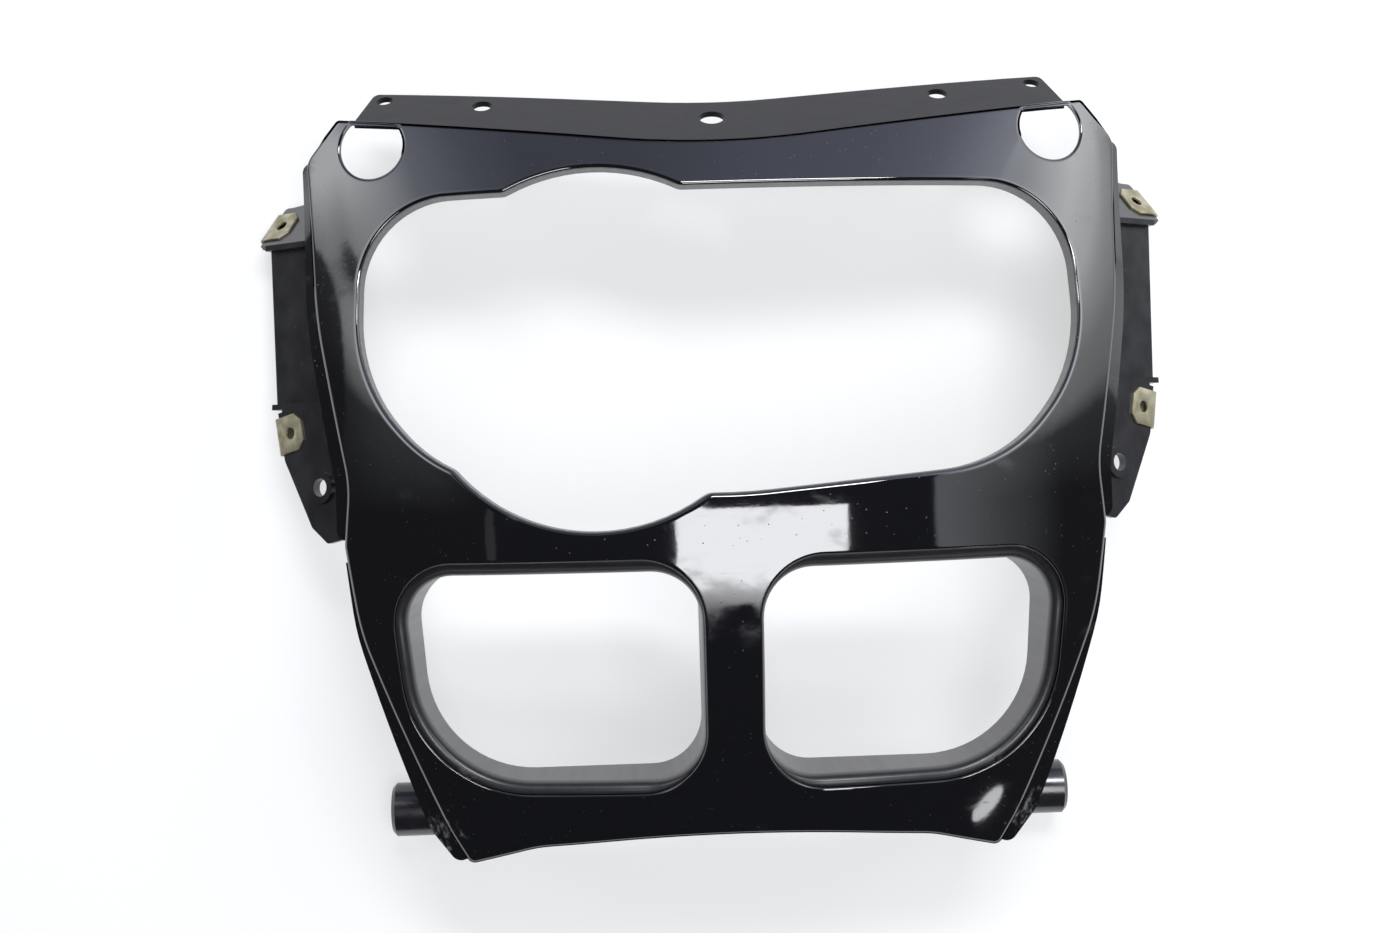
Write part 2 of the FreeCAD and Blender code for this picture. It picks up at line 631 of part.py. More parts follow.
flange = cut("flange", fuse("flange_solid", *plates), flange_holes)
flange.Placement = flange_frame

# Peg under the lower corner, on an ear that hangs from the face
upright = Placement(Vector(size("ear_x"), 0, 0), Rotation(Vector(1, 1, 1), 120))
ear_corners = [
    (size("ear_high_y"), PRISM_TOP, 0.0),
    (size("ear_low_y"), PRISM_TOP, 0.0),
    (size("ear_low_y"), size("ear_low_z"), size("ear_round")),
    (size("peg_y") + size("peg_radius"), size("ear_low_z"), size("ear_round")),
    (size("ear_high_y"), size("duct_rear_z"), size("ear_round")),
]
ear_outline = outline("ear_outline", ear_corners)
ear_outline.Placement = upright
ear_plate = extrusion("ear_plate", ear_outline, Vector(1, 0, 0), "Sizes.wall")
ear = common("ear", ear_plate, slab("ear_layer", "Sizes.wall / 2", str(PRISM_TOP)))
peg_start = Vector(size("ear_x"), size("peg_y"), size("peg_z"))
peg_place = Placement(peg_start, Rotation(Vector(0, 1, 0), 90))
peg_body = cylinder("peg_body", "Sizes.peg_radius", "Sizes.peg_end_x - Sizes.ear_x", peg_place)
doc.recompute()
peg_rim = edges_where(peg_body.Shape, lambda point, _: abs(point.x - size("peg_end_x")) < 0.01)
peg = doc.addObject("Part::Chamfer", "peg")
peg.Base = peg_body
peg.Edges = [(number, size("peg_bevel"), size("peg_bevel")) for number in peg_rim]

# What repeats on both sides
side = fuse("side", skirt, flange, band_upper)
jaw = fuse("jaw", band_lower, ear, peg)
both_sides = [intake, side, jaw]
both_sides += [mirrored(form.Name + "_left", form) for form in both_sides]

# Return wall along the bottom edge
return_inside = prism_up("return_inside", grown("return_outline", face_outline, "-Sizes.wall"))
return_ring = cut("return_ring", face_prism, return_inside)
return_end_x = size("tip_x") - size("wall")
return_room = block(
    "return_room", (-return_end_x, -PRISM_TOP, 0),
    (return_end_x, size("bottom_mid_y") + 2 * size("wall"), PRISM_TOP))
return_layer = slab("return_layer", "Sizes.wall / 2", "Sizes.return_depth")
bottom_return = common("bottom_return", return_ring, return_room, return_layer)

# Screen strip: falls away behind the top crease
crease_slope = (size("crease_end_y") - size("crease_mid_y")) / size("crease_end_x")
bend_angle = math.atan(crease_slope)


def crease_y(x):
    """Plan of the top crease: two straight runs and the bend between them."""
    if abs(x) > size("crease_bend") * math.sin(bend_angle):
        return size("crease_mid_y") + crease_slope * abs(x)
    centre = size("crease_mid_y") + size("crease_bend") / math.cos(bend_angle)
    return centre - math.sqrt(size("crease_bend") ** 2 - x ** 2)


strip_turn = math.radians(size("strip_slope"))
strip_down = Vector(0, math.cos(strip_turn), -math.sin(strip_turn))
strip_inwards = Vector(0, -math.sin(strip_turn), -math.cos(strip_turn))


def crease_point(x):
    """Root of the strip, just under the edge of the face."""
    y = crease_y(x)
    return Vector(x, y - size("strip_lap"), skin_height(x, y) - size("strip_lap") / 4)


root_steps = [2 * i / (ROOT_POINTS - 1) - 1 for i in range(ROOT_POINTS)]
root_curve = Part.BSplineCurve()
root_curve.interpolate([crease_point(size("crease_end_x") * step) for step in root_steps])
strip_sheet = doc.addObject("Part::Feature", "strip_sheet")
strip_sheet.Shape = root_curve.toShape().extrude(strip_down * size("crease_end_x"))
strip_slab = extrusion("strip_slab", strip_sheet, strip_inwards, "Sizes.wall")
strip_half = [
    (size("strip_end_x"), size("strip_end_y"), size("tip_round")),
    (size("strip_root_x"), crease_y(size("strip_root_x")), 0.0),
    (size("strip_root_x"), size("window_top_y"), 0.0),
]
strip_corners = [(0.0, size("strip_mid_y"), size("crease_bend"))] + strip_half
strip_corners += [(-x, y, radius) for x, y, radius in reversed(strip_half)]
strip_plan = prism_up("strip_plan", outline("strip_outline", strip_corners))
strip_solid = common("strip_solid", strip_slab, strip_plan)


def strip_hole(name, x, radius):
    """A screw hole square to the strip."""
    middle = crease_point(x) + strip_down * size("screw_back")
    start = middle - strip_inwards * size("wall")
    return cylinder(name, radius, "4 * Sizes.wall", Placement(start, Rotation(UP, strip_inwards)))


screw_holes = [strip_hole("screw_hole_middle", 0.0, "Sizes.screw_mid_radius")]
for place in ("inner", "outer"):
    hole_x = size(f"screw_{place}_x")
    for hand, x in (("right", hole_x), ("left", -hole_x)):
        hole_name = f"screw_hole_{place}_{hand}"
        screw_holes.append(strip_hole(hole_name, x, f"Sizes.screw_{place}_radius"))
strip = cut("strip", strip_solid, fuse("screw_holes", *screw_holes))

# The whole moulding
panel = fuse("fairing_panel", face, lip, strip, bottom_return, *both_sides)
panel.Label = "fairing_panel"

# One clip nut: a spring-steel U over the edge of a pad, with a threaded collar below
leg_gap = size("wall") + size("clip_gap")
fold_x = size("pad_edge") + size("clip_gap")
fold_z = -leg_gap / 2
tip_x = -size("clip_reach")


def fold_arc(radius, start_z, end_z):
    crest = Vector(fold_x + radius, fold_z, 0)
    return Part.Arc(Vector(fold_x, start_z, 0), crest, Vector(fold_x, end_z, 0))


sheet_top = size("clip_sheet")
sheet_low = -leg_gap - size("clip_sheet")
clip_profile = doc.addObject("Sketcher::SketchObject", "clip_profile")
clip_profile.addGeometry([
    Part.LineSegment(Vector(tip_x, sheet_top, 0), Vector(fold_x, sheet_top, 0)),
    fold_arc(leg_gap / 2 + size("clip_sheet"), sheet_top, sheet_low),
    Part.LineSegment(Vector(fold_x, sheet_low, 0), Vector(tip_x, sheet_low, 0)),
    Part.LineSegment(Vector(tip_x, sheet_low, 0), Vector(tip_x, -leg_gap, 0)),
    Part.LineSegment(Vector(tip_x, -leg_gap, 0), Vector(fold_x, -leg_gap, 0)),
    fold_arc(leg_gap / 2, -leg_gap, 0),
    Part.LineSegment(Vector(fold_x, 0, 0), Vector(tip_x, 0, 0)),
    Part.LineSegment(Vector(tip_x, 0, 0), Vector(tip_x, sheet_top, 0)),
], False)
clip_profile.Placement = Placement(Vector(), Rotation(Vector(1, 0, 0), 90))
clip_strip = extrusion(
    "clip_strip", clip_profile, Vector(0, 1, 0), "Sizes.clip_width / 2", "Sizes.clip_width / 2")
half_width = size("clip_width") / 2
fold_end = fold_x + leg_gap
clip_plan = prism_up("clip_plan", outline("clip_plan_outline", [
    (tip_x, half_width - size("clip_corner"), 0.0),
    (tip_x + size("clip_corner"), half_width, 0.0),
    (fold_end, half_width, 0.0),
    (fold_end, -half_width, 0.0),
    (tip_x + size("clip_corner"), -half_width, 0.0),
    (tip_x, -half_width + size("clip_corner"), 0.0),
]), "-10 * Sizes.wall")
clip_sheet_part = common("clip_sheet_part", clip_strip, clip_plan)
collar_place = Placement(Vector(0, 0, sheet_low - size("collar_length")), Rotation())
collar_height = "Sizes.collar_length + Sizes.clip_sheet"
collar_low = (-size("collar_half"), -size("collar_half"), sheet_low - size("collar_length"))
collar = block("collar", collar_low, (size("collar_half"), size("collar_half"), -leg_gap))
thread_core = cylinder("thread_core", "Sizes.thread_radius", collar_height, collar_place)
leg_hole = cylinder("upper_leg_hole", "Sizes.clip_hole_radius", "2 * Sizes.clip_sheet", Placement())
clip_holes = fuse("clip_holes", thread_core, leg_hole)
clip_nut = cut("clip_nut", fuse("clip_body", clip_sheet_part, collar), clip_holes)
doc.recompute()

nuts = doc.addObject("Part::Feature", "clip_nuts")
nuts.Label = "clip_nuts"
right_nuts = []
for frame in (lower_nut_frame, upper_nut_frame):
    nut_shape = clip_nut.Shape.copy()
    nut_shape.Placement = frame
    right_nuts.append(nut_shape)
middle_plane = (Vector(), Vector(1, 0, 0))
nuts.Shape = Part.makeCompound(right_nuts + [shape.mirror(*middle_plane) for shape in right_nuts])

# Stand the part on the table with its box over the origin
box = Part.makeCompound([panel.Shape, nuts.Shape]).optimalBoundingBox(False)
seat = Placement(Vector(-box.Center.x, -box.Center.y, -box.ZMin), Rotation())
sub_parts = [panel, nuts]
for sub_part in sub_parts:
    sub_part.Placement = seat
doc.recompute()

for item in doc.Objects:
    if "Invalid" in item.State or "Error" in item.State:
        raise RuntimeError(f"{item.Label} did not build: {item.State}")
os.makedirs("parts", exist_ok=True)
for sub_part in sub_parts:
    shape = sub_part.Shape
    if shape.isNull() or not shape.isValid():
        raise RuntimeError(f"{sub_part.Label} has no valid shape")
    shape.exportStep(f"parts/{sub_part.Label}.step")
    print(sub_part.Label, len(shape.Solids), "solids", round(shape.Volume), "cubic mm")
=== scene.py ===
# %% [markdown]
# # A motorcycle front fairing on a white studio table
#
# The part is one thin moulding in gloss black: a nose panel with a wide lamp opening, two air
# intakes, a slanting strip for the screen and a flange on each side with clip nuts pushed over
# its pads. The measured solids come first. They give the place and the size of everything here,
# and nothing below moves them.

# %% The measured solids
import math

import bmesh
import bpy
import numpy as np
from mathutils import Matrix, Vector
from mathutils.geometry import delaunay_2d_cdt, intersect_line_line_2d


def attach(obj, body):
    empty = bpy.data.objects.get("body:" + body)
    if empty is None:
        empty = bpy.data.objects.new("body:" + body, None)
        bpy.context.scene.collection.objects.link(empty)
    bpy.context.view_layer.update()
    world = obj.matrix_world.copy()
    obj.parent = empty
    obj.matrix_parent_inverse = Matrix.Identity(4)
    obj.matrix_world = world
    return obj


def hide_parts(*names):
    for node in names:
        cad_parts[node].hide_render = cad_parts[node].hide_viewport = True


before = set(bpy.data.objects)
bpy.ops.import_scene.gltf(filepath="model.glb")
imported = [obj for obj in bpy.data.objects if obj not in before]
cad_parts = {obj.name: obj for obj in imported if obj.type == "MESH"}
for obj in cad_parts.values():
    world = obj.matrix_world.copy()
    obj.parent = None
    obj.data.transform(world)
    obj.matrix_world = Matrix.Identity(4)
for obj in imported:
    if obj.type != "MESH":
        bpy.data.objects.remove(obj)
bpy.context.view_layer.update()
scene = bpy.context.scene
scene.view_settings.view_transform = "Standard"
print("nodes:", sorted(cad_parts))

# %% [markdown]
# ## Camera
# The photograph looks down on the part from about a metre, a little from the left: the right-hand
# walls of the openings show more than the left-hand ones. The lens angle follows from that height.
# The camera turns slightly to the right, and about its own axis, because the part lies askew.

# %% Camera
PICTURE_WIDTH = 1400
FOCAL_PIXELS = 1790.0
SENSOR = 36.0
CAMERA_PLACE = (-0.0316, -0.0025, 1.0)
CAMERA_YAW = -1.22
CAMERA_ROLL = -1.84

camera_data = bpy.data.cameras.new("camera")
camera_data.sensor_width = SENSOR
camera_data.lens = SENSOR * FOCAL_PIXELS / PICTURE_WIDTH
camera = bpy.data.objects.new("camera", camera_data)
camera.location = CAMERA_PLACE
camera.rotation_mode = "ZXY"
camera.rotation_euler = (0, math.radians(CAMERA_YAW), math.radians(CAMERA_ROLL))
scene.collection.objects.link(camera)
scene.camera = camera
print("lens", round(camera_data.lens, 1), "mm")

# %% [markdown]
# ## Node helpers
# Every finish below is a small network of shader nodes. A few helpers keep the networks short: one
# adds a node and plugs its inputs, two do arithmetic, two mix values or colours, one fades from
# one value to another, and one starts a material with plain values.


# %% Node helpers
def add_node(tree, kind, plugs=None, **options):
    """Add one node, set its options, and set or plug its inputs."""
    made = tree.nodes.new(kind)
    for name, value in options.items():
        setattr(made, name, value)
    for name, value in (plugs or {}).items():
        if isinstance(value, bpy.types.NodeSocket):
            tree.links.new(value, made.inputs[name])
        else:
            made.inputs[name].default_value = value
    return made


def reckon(tree, operation, first, second=0.0):
    """One step of arithmetic on two values."""
    return add_node(tree, "ShaderNodeMath", {0: first, 1: second}, operation=operation).outputs[0]


def product(tree, value, *others):
    """Several values multiplied together."""
    for other in others:
        value = reckon(tree, "MULTIPLY", value, other)
    return value


def mixed_value(tree, share, first, second):
    """A value between two others, by a share from 0 to 1."""
    plugs = {0: share, 2: first, 3: second}
    return add_node(tree, "ShaderNodeMix", plugs, data_type="FLOAT").outputs[0]


def mixed_colour(tree, share, first, second):
    """A colour between two others, by a share from 0 to 1."""
    plugs = {0: share, 6: (*first, 1.0), 7: (*second, 1.0)}
    return add_node(tree, "ShaderNodeMix", plugs, data_type="RGBA").outputs[2]


def fade(tree, value, low, high, start=0.0, end=1.0):
    """Smooth change from one value to another while the input runs from low to high."""
    plugs = {"Value": value, 1: low, 2: high, 3: start, 4: end}
    made = add_node(tree, "ShaderNodeMapRange", plugs, interpolation_type="SMOOTHSTEP")
    return made.outputs[0]


def new_material(name, colour, roughness):
    """A principled material with its plain values set on the shader's own sockets."""
    material = bpy.data.materials.new(name)
    material.use_nodes = True
    shader = material.node_tree.nodes["Principled BSDF"]
    shader.inputs["Base Color"].default_value = (*colour, 1.0)
    shader.inputs["Roughness"].default_value = roughness
    return material, shader


# %% [markdown]
# ## Table and light
# The part lies on a white table. More lamps would make it white too, but they would also wash out
# the black paint. So, for the eye of the camera and in reflections, a little over half of the
# table's shading is replaced by plain white. It stays pale without more light, and the shadows
# remain.


# %% Table
def wipe_selection():
    """Deselect everything, so that the next operator works on its own piece only."""
    bpy.ops.object.select_all(action="DESELECT")


TABLE_SIZE = 6.0
TABLE_DROP = 0.0004
WHITE_SHARE = 0.6

wipe_selection()
bpy.ops.mesh.primitive_plane_add(size=TABLE_SIZE, location=(0, 0, -TABLE_DROP))
table = bpy.context.object
table.name = "table"
bpy.ops.object.transform_apply(location=True, rotation=True, scale=True)
table_white, table_shader = new_material("table_white", (0.95, 0.95, 0.955), 0.7)
table_shader.inputs["Specular IOR Level"].default_value = 0.15
table_tree = table_white.node_tree
light_path = add_node(table_tree, "ShaderNodeLightPath").outputs
looked_at = reckon(table_tree, "MAXIMUM", light_path["Is Camera Ray"], light_path["Is Glossy Ray"])
looked_at = reckon(table_tree, "MAXIMUM", looked_at, light_path["Is Transmission Ray"])
white_part = product(table_tree, looked_at, WHITE_SHARE)
plain_white = add_node(table_tree, "ShaderNodeEmission", {"Color": (0.99, 0.995, 1.0, 1.0)})
table_mix = {0: white_part, 1: table_shader.outputs[0], 2: plain_white.outputs[0]}
table_look = add_node(table_tree, "ShaderNodeMixShader", table_mix)
table_tree.links.new(table_look.outputs[0], table_tree.nodes["Material Output"].inputs["Surface"])
table.data.materials.append(table_white)
print("table:", TABLE_SIZE, "m wide")

# %% [markdown]
# Gloss black has almost no colour of its own, so the light is chosen by what the paint mirrors. A
# soft box hangs over the bridge between the openings and shows there as a clean white patch. A
# second lamp, further up and to the right, throws the soft shadow of the top bar on to the table.
# It is wide and shallow, so the shadow is a plain band. A small low lamp gives the leaf of light
# near the lower right corner, and a slim dim one a streak at the left of the bridge.

# %% Lamps
LAMP_COLOUR = (0.98, 0.99, 1.02)


def soft_box(name, centre, target, width, depth, power, shape="RECTANGLE"):
    """A flat lamp that faces a point on the part."""
    data = bpy.data.lights.new(name, "AREA")
    data.shape = shape
    data.size = width
    data.size_y = depth
    data.energy = power
    data.color = LAMP_COLOUR
    lamp = bpy.data.objects.new(name, data)
    lamp.location = centre
    direction = Vector(target) - Vector(centre)
    lamp.rotation_euler = direction.to_track_quat("-Z", "Y").to_euler()
    scene.collection.objects.link(lamp)


soft_box(
    "key_box", centre=(0.185, -0.28, 1.5), target=(0.185, -0.28, 0),
    width=0.68, depth=0.62, power=10.2)
soft_box(
    "top_lamp", centre=(0.3, 1.18, 1.8), target=(0, 0.05, 0.1),
    width=1.1, depth=0.4, power=33.0)
soft_box(
    "low_lamp", centre=(0.96, -1.396, 0.37), target=(0.128, -0.178, 0.096),
    width=0.19, depth=0.07, power=0.13, shape="ELLIPSE")
soft_box(
    "left_strip", centre=(-1.22, -0.17, 1.5), target=(-1.22, -0.17, 0),
    width=0.10, depth=0.55, power=0.022, shape="ELLIPSE")
print("lamps:", len(bpy.data.lights))

# %% [markdown]
# The walls of the studio are brighter to the upper left and the upper right, and the cheeks of the
# part mirror them as a soft grey. Real walls would need shapes and lamps of their own. The world
# shader draws them from the direction alone, which is quicker and free of noise. How far round a
# direction points, from 0 at the side to 1 straight ahead, gives the brightness of each wall.

# %% Walls
RIGHT_STEPS = (
    (0.02, 0.0), (0.10, 0.03), (0.135, 0.04), (0.17, 0.26), (0.22, 0.34), (0.27, 0.60),
    (0.30, 0.84), (0.37, 0.98), (0.50, 0.50), (0.71, 0.22), (0.82, 0.16), (1.0, 0.13),
)
LEFT_STEPS = (
    (0.02, 0.0), (0.20, 0.05), (0.27, 0.78), (0.38, 0.82),
    (0.58, 0.26), (0.72, 0.14), (0.82, 0.10), (1.0, 0.12),
)


def level_ramp(tree, value, steps):
    """A brightness that runs through (place, level) steps."""
    ramp = add_node(tree, "ShaderNodeValToRGB", {0: value})
    stops = ramp.color_ramp.elements
    while len(stops) < len(steps):
        stops.new(0.5)
    for stop, (place, level) in zip(stops, steps):
        stop.position = place
        stop.color = (level, level, level, 1.0)
    return ramp.outputs["Color"]


world = bpy.data.worlds.new("studio")
world.use_nodes = True
sky = world.node_tree
direction = add_node(sky, "ShaderNodeTexCoord").outputs["Generated"]
across, ahead, up = add_node(sky, "ShaderNodeSeparateXYZ", {0: direction}).outputs
sideways = reckon(sky, "ABSOLUTE", across)
quarter = product(sky, reckon(sky, "ARCTAN2", ahead, sideways), 2 / math.pi)
right_wall = level_ramp(sky, quarter, RIGHT_STEPS)
left_wall = level_ramp(sky, quarter, LEFT_STEPS)
print("wall steps:", len(RIGHT_STEPS), "right,", len(LEFT_STEPS), "left")

# %% [markdown]
# The left wall ends above a dark bench, so its reflection stops short on the left cheek. The bench
# stands higher further ahead. Towards the ceiling both walls fade out.

# %% Bench and wall height
WALL_POWER = 3.55

bench_top = fade(sky, quarter, 0.28, 0.36, 0.14, 0.25)
over_bench = reckon(sky, "SUBTRACT", up, bench_top)
bench_edge = fade(sky, over_bench, -0.01, 0.01, 0.1, 1.0)
bench_glow = fade(sky, over_bench, -0.1, 0.25, 0.3, 1.0)
left_wall = product(sky, left_wall, bench_edge, bench_glow)
walls = mixed_value(sky, fade(sky, across, -0.1, 0.1), left_wall, right_wall)
brighter_up = fade(sky, up, 0.05, 0.45, 0.85, 1.12)
below_ceiling = fade(sky, up, 0.55, 0.8, WALL_POWER, 0.0)
walls = product(sky, walls, brighter_up, below_ceiling)
print("walls:", len(sky.nodes), "nodes")

# %% [markdown]
# A dim ceiling panel at the right adds a grey patch beside the white one. The light from straight
# ahead is a little bluer than the walls. Where the camera sees past the table, the backdrop is
# pale, and nothing else takes light from that.

# %% Ceiling panel and backdrop
DARK = 0.045
BACKDROP = 0.93
AHEAD_HUE = (0.83, 0.88, 1.16)
SIDE_HUE = (0.96, 0.99, 1.01)

panel_edge = fade(sky, across, 0.575, 0.59)
panel_level = fade(sky, across, 0.55, 0.9, 0.75, 0.2)
panel = product(sky, panel_edge, panel_level, fade(sky, up, 0.3, 0.55), fade(sky, ahead, -0.5, -0.3))
light = reckon(sky, "ADD", reckon(sky, "ADD", walls, panel), DARK)
seen = add_node(sky, "ShaderNodeLightPath").outputs["Is Camera Ray"]
light = mixed_value(sky, seen, light, BACKDROP)
hue = mixed_colour(sky, fade(sky, sideways, 0.3, 0.8), AHEAD_HUE, SIDE_HUE)
background = sky.nodes["Background"]
sky.links.new(hue, background.inputs["Color"])
sky.links.new(light, background.inputs["Strength"])
scene.world = world
print("world nodes:", len(sky.nodes))

# %% [markdown]
# ## The painted face
# On the real part the face is one smooth crown, and gloss black shows every flat spot in it. The
# solid's own triangles are long and thin, so a reflection would ripple across them. Here the
# face is drawn again: the same crown, as a height over the plan, on an even mesh of small
# triangles. A subdivided cage could be shaped to it, but the openings would then have to be cut,
# and a cut leaves uneven edges. Drawing the outlines first keeps every rim clean.

# %% Crown of the face
MM = 0.001
SEAT_Y = -2.479
STATIONS = (
    (-220.0, 88.0, 54.0),
    (-115.0, 143.0, 58.0),
    (-35.0, 160.0, 60.0),
    (70.0, 140.0, 54.0),
    (215.0, 66.0, 8.0),
)
HALF_WIDTH = 200.0
FULLNESS = 0.35


def through_stations(column, y):
    """The smooth value at y through one column of the stations."""
    total = 0.0
    for row in STATIONS:
        weight = 1.0
        for other in STATIONS:
            if other is not row:
                weight *= (y - other[0]) / (row[0] - other[0])
        total += weight * row[column]
    return total


def face_height(x, y):
    """Height of the face over a point of the plan, in millimetres."""
    side = (x / HALF_WIDTH) ** 2
    fall = (1 - FULLNESS) * side + FULLNESS * side ** 2
    return through_stations(1, y) - through_stations(2, y) * fall


print("top of the crown", round(face_height(0.0, -35.0), 1), "mm")

# %% [markdown]
# ## Outlines
# Each outline is a closed run of straight lines and arcs in the plan. A few small helpers draw
# them: one for an arc round a centre, one for a path whose corners are rounded, one that evens
# out the steps, and one for the mirrored side.

# %% Drawing helpers
ARC_STEP = math.radians(5.0)
EDGE_STEP = 2.5
SAME_PLACE = 0.05


def heading(vector):
    """Angle of a flat vector."""
    return math.atan2(vector.y, vector.x)


def arc(centre, radius, start, end):
    """Points round a centre, the short way from one angle to the other."""
    sweep = (end - start + math.pi) % (2 * math.pi) - math.pi
    count = max(2, math.ceil(abs(sweep) / ARC_STEP), math.ceil(abs(sweep) * radius / EDGE_STEP))
    turns = [start + sweep * i / count for i in range(count + 1)]
    return [centre + radius * Vector((math.cos(turn), math.sin(turn))) for turn in turns]


def corner_arc(before, corner, after):
    """Centre of a rounded corner, and the points where its arc starts and ends."""
    spot = Vector(corner[:2])
    back = (Vector(before[:2]) - spot).normalized()
    onward = (Vector(after[:2]) - spot).normalized()
    half = back.angle(onward) / 2
    reach = corner[2] / math.tan(half)
    centre = spot + (back + onward).normalized() * (corner[2] / math.sin(half))
    return centre, spot + back * reach, spot + onward * reach


def rounded_path(corners):
    """Points along a path of (x, y, radius) corners; its two ends are kept as they are."""
    points = [Vector(corners[0][:2])]
    for before, corner, after in zip(corners, corners[1:], corners[2:]):
        centre, first, last = corner_arc(before, corner, after)
        points += arc(centre, corner[2], heading(first - centre), heading(last - centre))
    return points + [Vector(corners[-1][:2])]


def closed_loop(points):
    """An even loop: no doubled points and no long steps."""
    loop = []
    for i, point in enumerate(points):
        following = points[(i + 1) % len(points)]
        gap = (following - point).length
        if gap > SAME_PLACE:
            count = math.ceil(gap / EDGE_STEP)
            loop += [point.lerp(following, k / count) for k in range(count)]
    return loop


def other_hand(loop):
    """The mirrored loop, still running the same way round."""
    return [Vector((-point.x, point.y)) for point in reversed(loop)]


# %% [markdown]
# The outer edge is the same on both sides, so only the right one is written down, from the crease
# at the top to the lower tip. Each corner has its own radius, from tight at the tips to very wide
# along the flanks.

# %% Outer outline
RIGHT_EDGE = [
    (195.5, 187.0, 3.0),
    (213.5, 166.0, 12.0),
    (207.0, 82.0, 250.0),
    (187.5, -4.0, 60.0),
    (190.5, -34.0, 14.0),
    (184.0, -78.0, 120.0),
    (145.5, -181.0, 50.0),
    (136.0, -200.0, 4.0),
    (100.0, -189.5, 60.0),
]
CREASE_MIDDLE = (0.0, 162.5, 400.0)
BOTTOM_MIDDLE = (0.0, -180.5, 700.0)
START_X = 100.0

crease_slope = (RIGHT_EDGE[0][1] - CREASE_MIDDLE[1]) / RIGHT_EDGE[0][0]
on_crease = (START_X, CREASE_MIDDLE[1] + START_X * crease_slope, 0.0)
left_edge = [(-x, y, radius) for x, y, radius in reversed(RIGHT_EDGE)]
edge_corners = [on_crease, *RIGHT_EDGE, BOTTOM_MIDDLE, *left_edge, CREASE_MIDDLE, on_crease]
face_loop = closed_loop(list(reversed(rounded_path(edge_corners))))
print("points round the face:", len(face_loop))

# %% [markdown]
# The lamp opening is a wide rounded window with one round lamp that pushes out of it. Where the
# two meet, a small arc blends them. Its centre lies one blend radius outside the round lamp and
# one blend radius outside the window, whose side is straight at the top and an arc below.

# %% Blends of the lamp opening
LAMP = Vector((-63.0, 61.5))
LAMP_RADIUS = 91.0
LAMP_BLEND = 9.0
LAMP_REACH = LAMP_RADIUS + LAMP_BLEND


def on_other_side(corner):
    """The mirrored corner."""
    return -corner[0], corner[1], corner[2]


def beside_arc(centre, radius, near):
    """Centre of the blend outside the round lamp and outside an arc, nearest to a corner."""
    gap = centre - LAMP
    reach = (gap.length_squared + LAMP_REACH ** 2 - (radius + LAMP_BLEND) ** 2) / (2 * gap.length)
    along = gap.normalized()
    aside = Vector((along.y, -along.x)) * math.sqrt(LAMP_REACH ** 2 - reach ** 2)
    places = [LAMP + along * reach + aside, LAMP + along * reach - aside]
    return min(places, key=lambda place: (place - Vector(near[:2])).length)


def blend(centre, towards_side, leaves_side):
    """The small arc between the window and the round lamp, in the order of the loop."""
    ends = [heading(towards_side), heading(LAMP - centre)]
    return arc(centre, LAMP_BLEND, *(ends if leaves_side else ends[::-1]))


def on_lamp(first, last):
    """The stretch of the round lamp between two blends."""
    return arc(LAMP, LAMP_RADIUS, heading(first - LAMP), heading(last - LAMP))


# %% [markdown]
# The four blends are found first, two above and two below. The outline then runs once round: over
# the top of the round lamp, down the left side of the window, along the bottom of the round lamp,
# and back up the right side.

# %% Lamp outline
TOP_CORNER = (182.0, 141.0, 46.0)
SIDE_CORNER = (182.0, 48.0, 85.0)
LOW_CORNER = (136.5, -2.5, 80.0)
LOW_MIDDLE = (0.0, -13.5, 250.0)

low_left = on_other_side(LOW_CORNER)
side_left = on_other_side(SIDE_CORNER)
top_left = on_other_side(TOP_CORNER)
blend_y = TOP_CORNER[1] + LAMP_BLEND
blend_reach = math.sqrt(LAMP_REACH ** 2 - (blend_y - LAMP.y) ** 2)
top_first = Vector((LAMP.x + blend_reach, blend_y))
top_last = Vector((LAMP.x - blend_reach, blend_y))
left_centre, left_start, _ = corner_arc(side_left, low_left, LOW_MIDDLE)
middle_centre, _, middle_end = corner_arc(low_left, LOW_MIDDLE, LOW_CORNER)
left_blend = beside_arc(left_centre, LOW_CORNER[2], low_left)
middle_blend = beside_arc(middle_centre, LOW_MIDDLE[2], LOW_MIDDLE)
down = Vector((0, -1))

lamp_points = blend(top_first, down, True) + on_lamp(top_first, top_last)
lamp_points += blend(top_last, down, False)
lamp_points += rounded_path([(top_last.x, TOP_CORNER[1]), top_left, side_left, left_start])
left_turns = [heading(left_start - left_centre), heading(left_blend - left_centre)]
lamp_points += arc(left_centre, LOW_CORNER[2], *left_turns)
lamp_points += blend(left_blend, left_centre - left_blend, True) + on_lamp(left_blend, middle_blend)
lamp_points += blend(middle_blend, middle_centre - middle_blend, False)
middle_turns = [heading(middle_blend - middle_centre), heading(middle_end - middle_centre)]
lamp_points += arc(middle_centre, LOW_MIDDLE[2], *middle_turns)
top_end = (top_first.x, TOP_CORNER[1])
lamp_points += rounded_path([middle_end, LOW_CORNER, SIDE_CORNER, TOP_CORNER, top_end])
lamp_loop = closed_loop(lamp_points)
print("points round the lamp opening:", len(lamp_loop))

# %% [markdown]
# The intakes are rounded shapes with a wide outer lower corner, and the holes in the top corners
# are circles whose upper side the crease cuts off.

# %% Intakes and corner holes
INTAKE_CORNERS = [
    (90.0, -43.5, 0.0),
    (13.8, -43.5, 30.0),
    (13.8, -160.5, 32.0),
    (159.5, -160.5, 62.0),
    (167.5, -43.5, 30.0),
    (90.0, -43.5, 0.0),
]
CORNER_HOLE = Vector((177.0, 171.0))
CORNER_RADIUS = 17.0
CORNER_RIM = 2.0

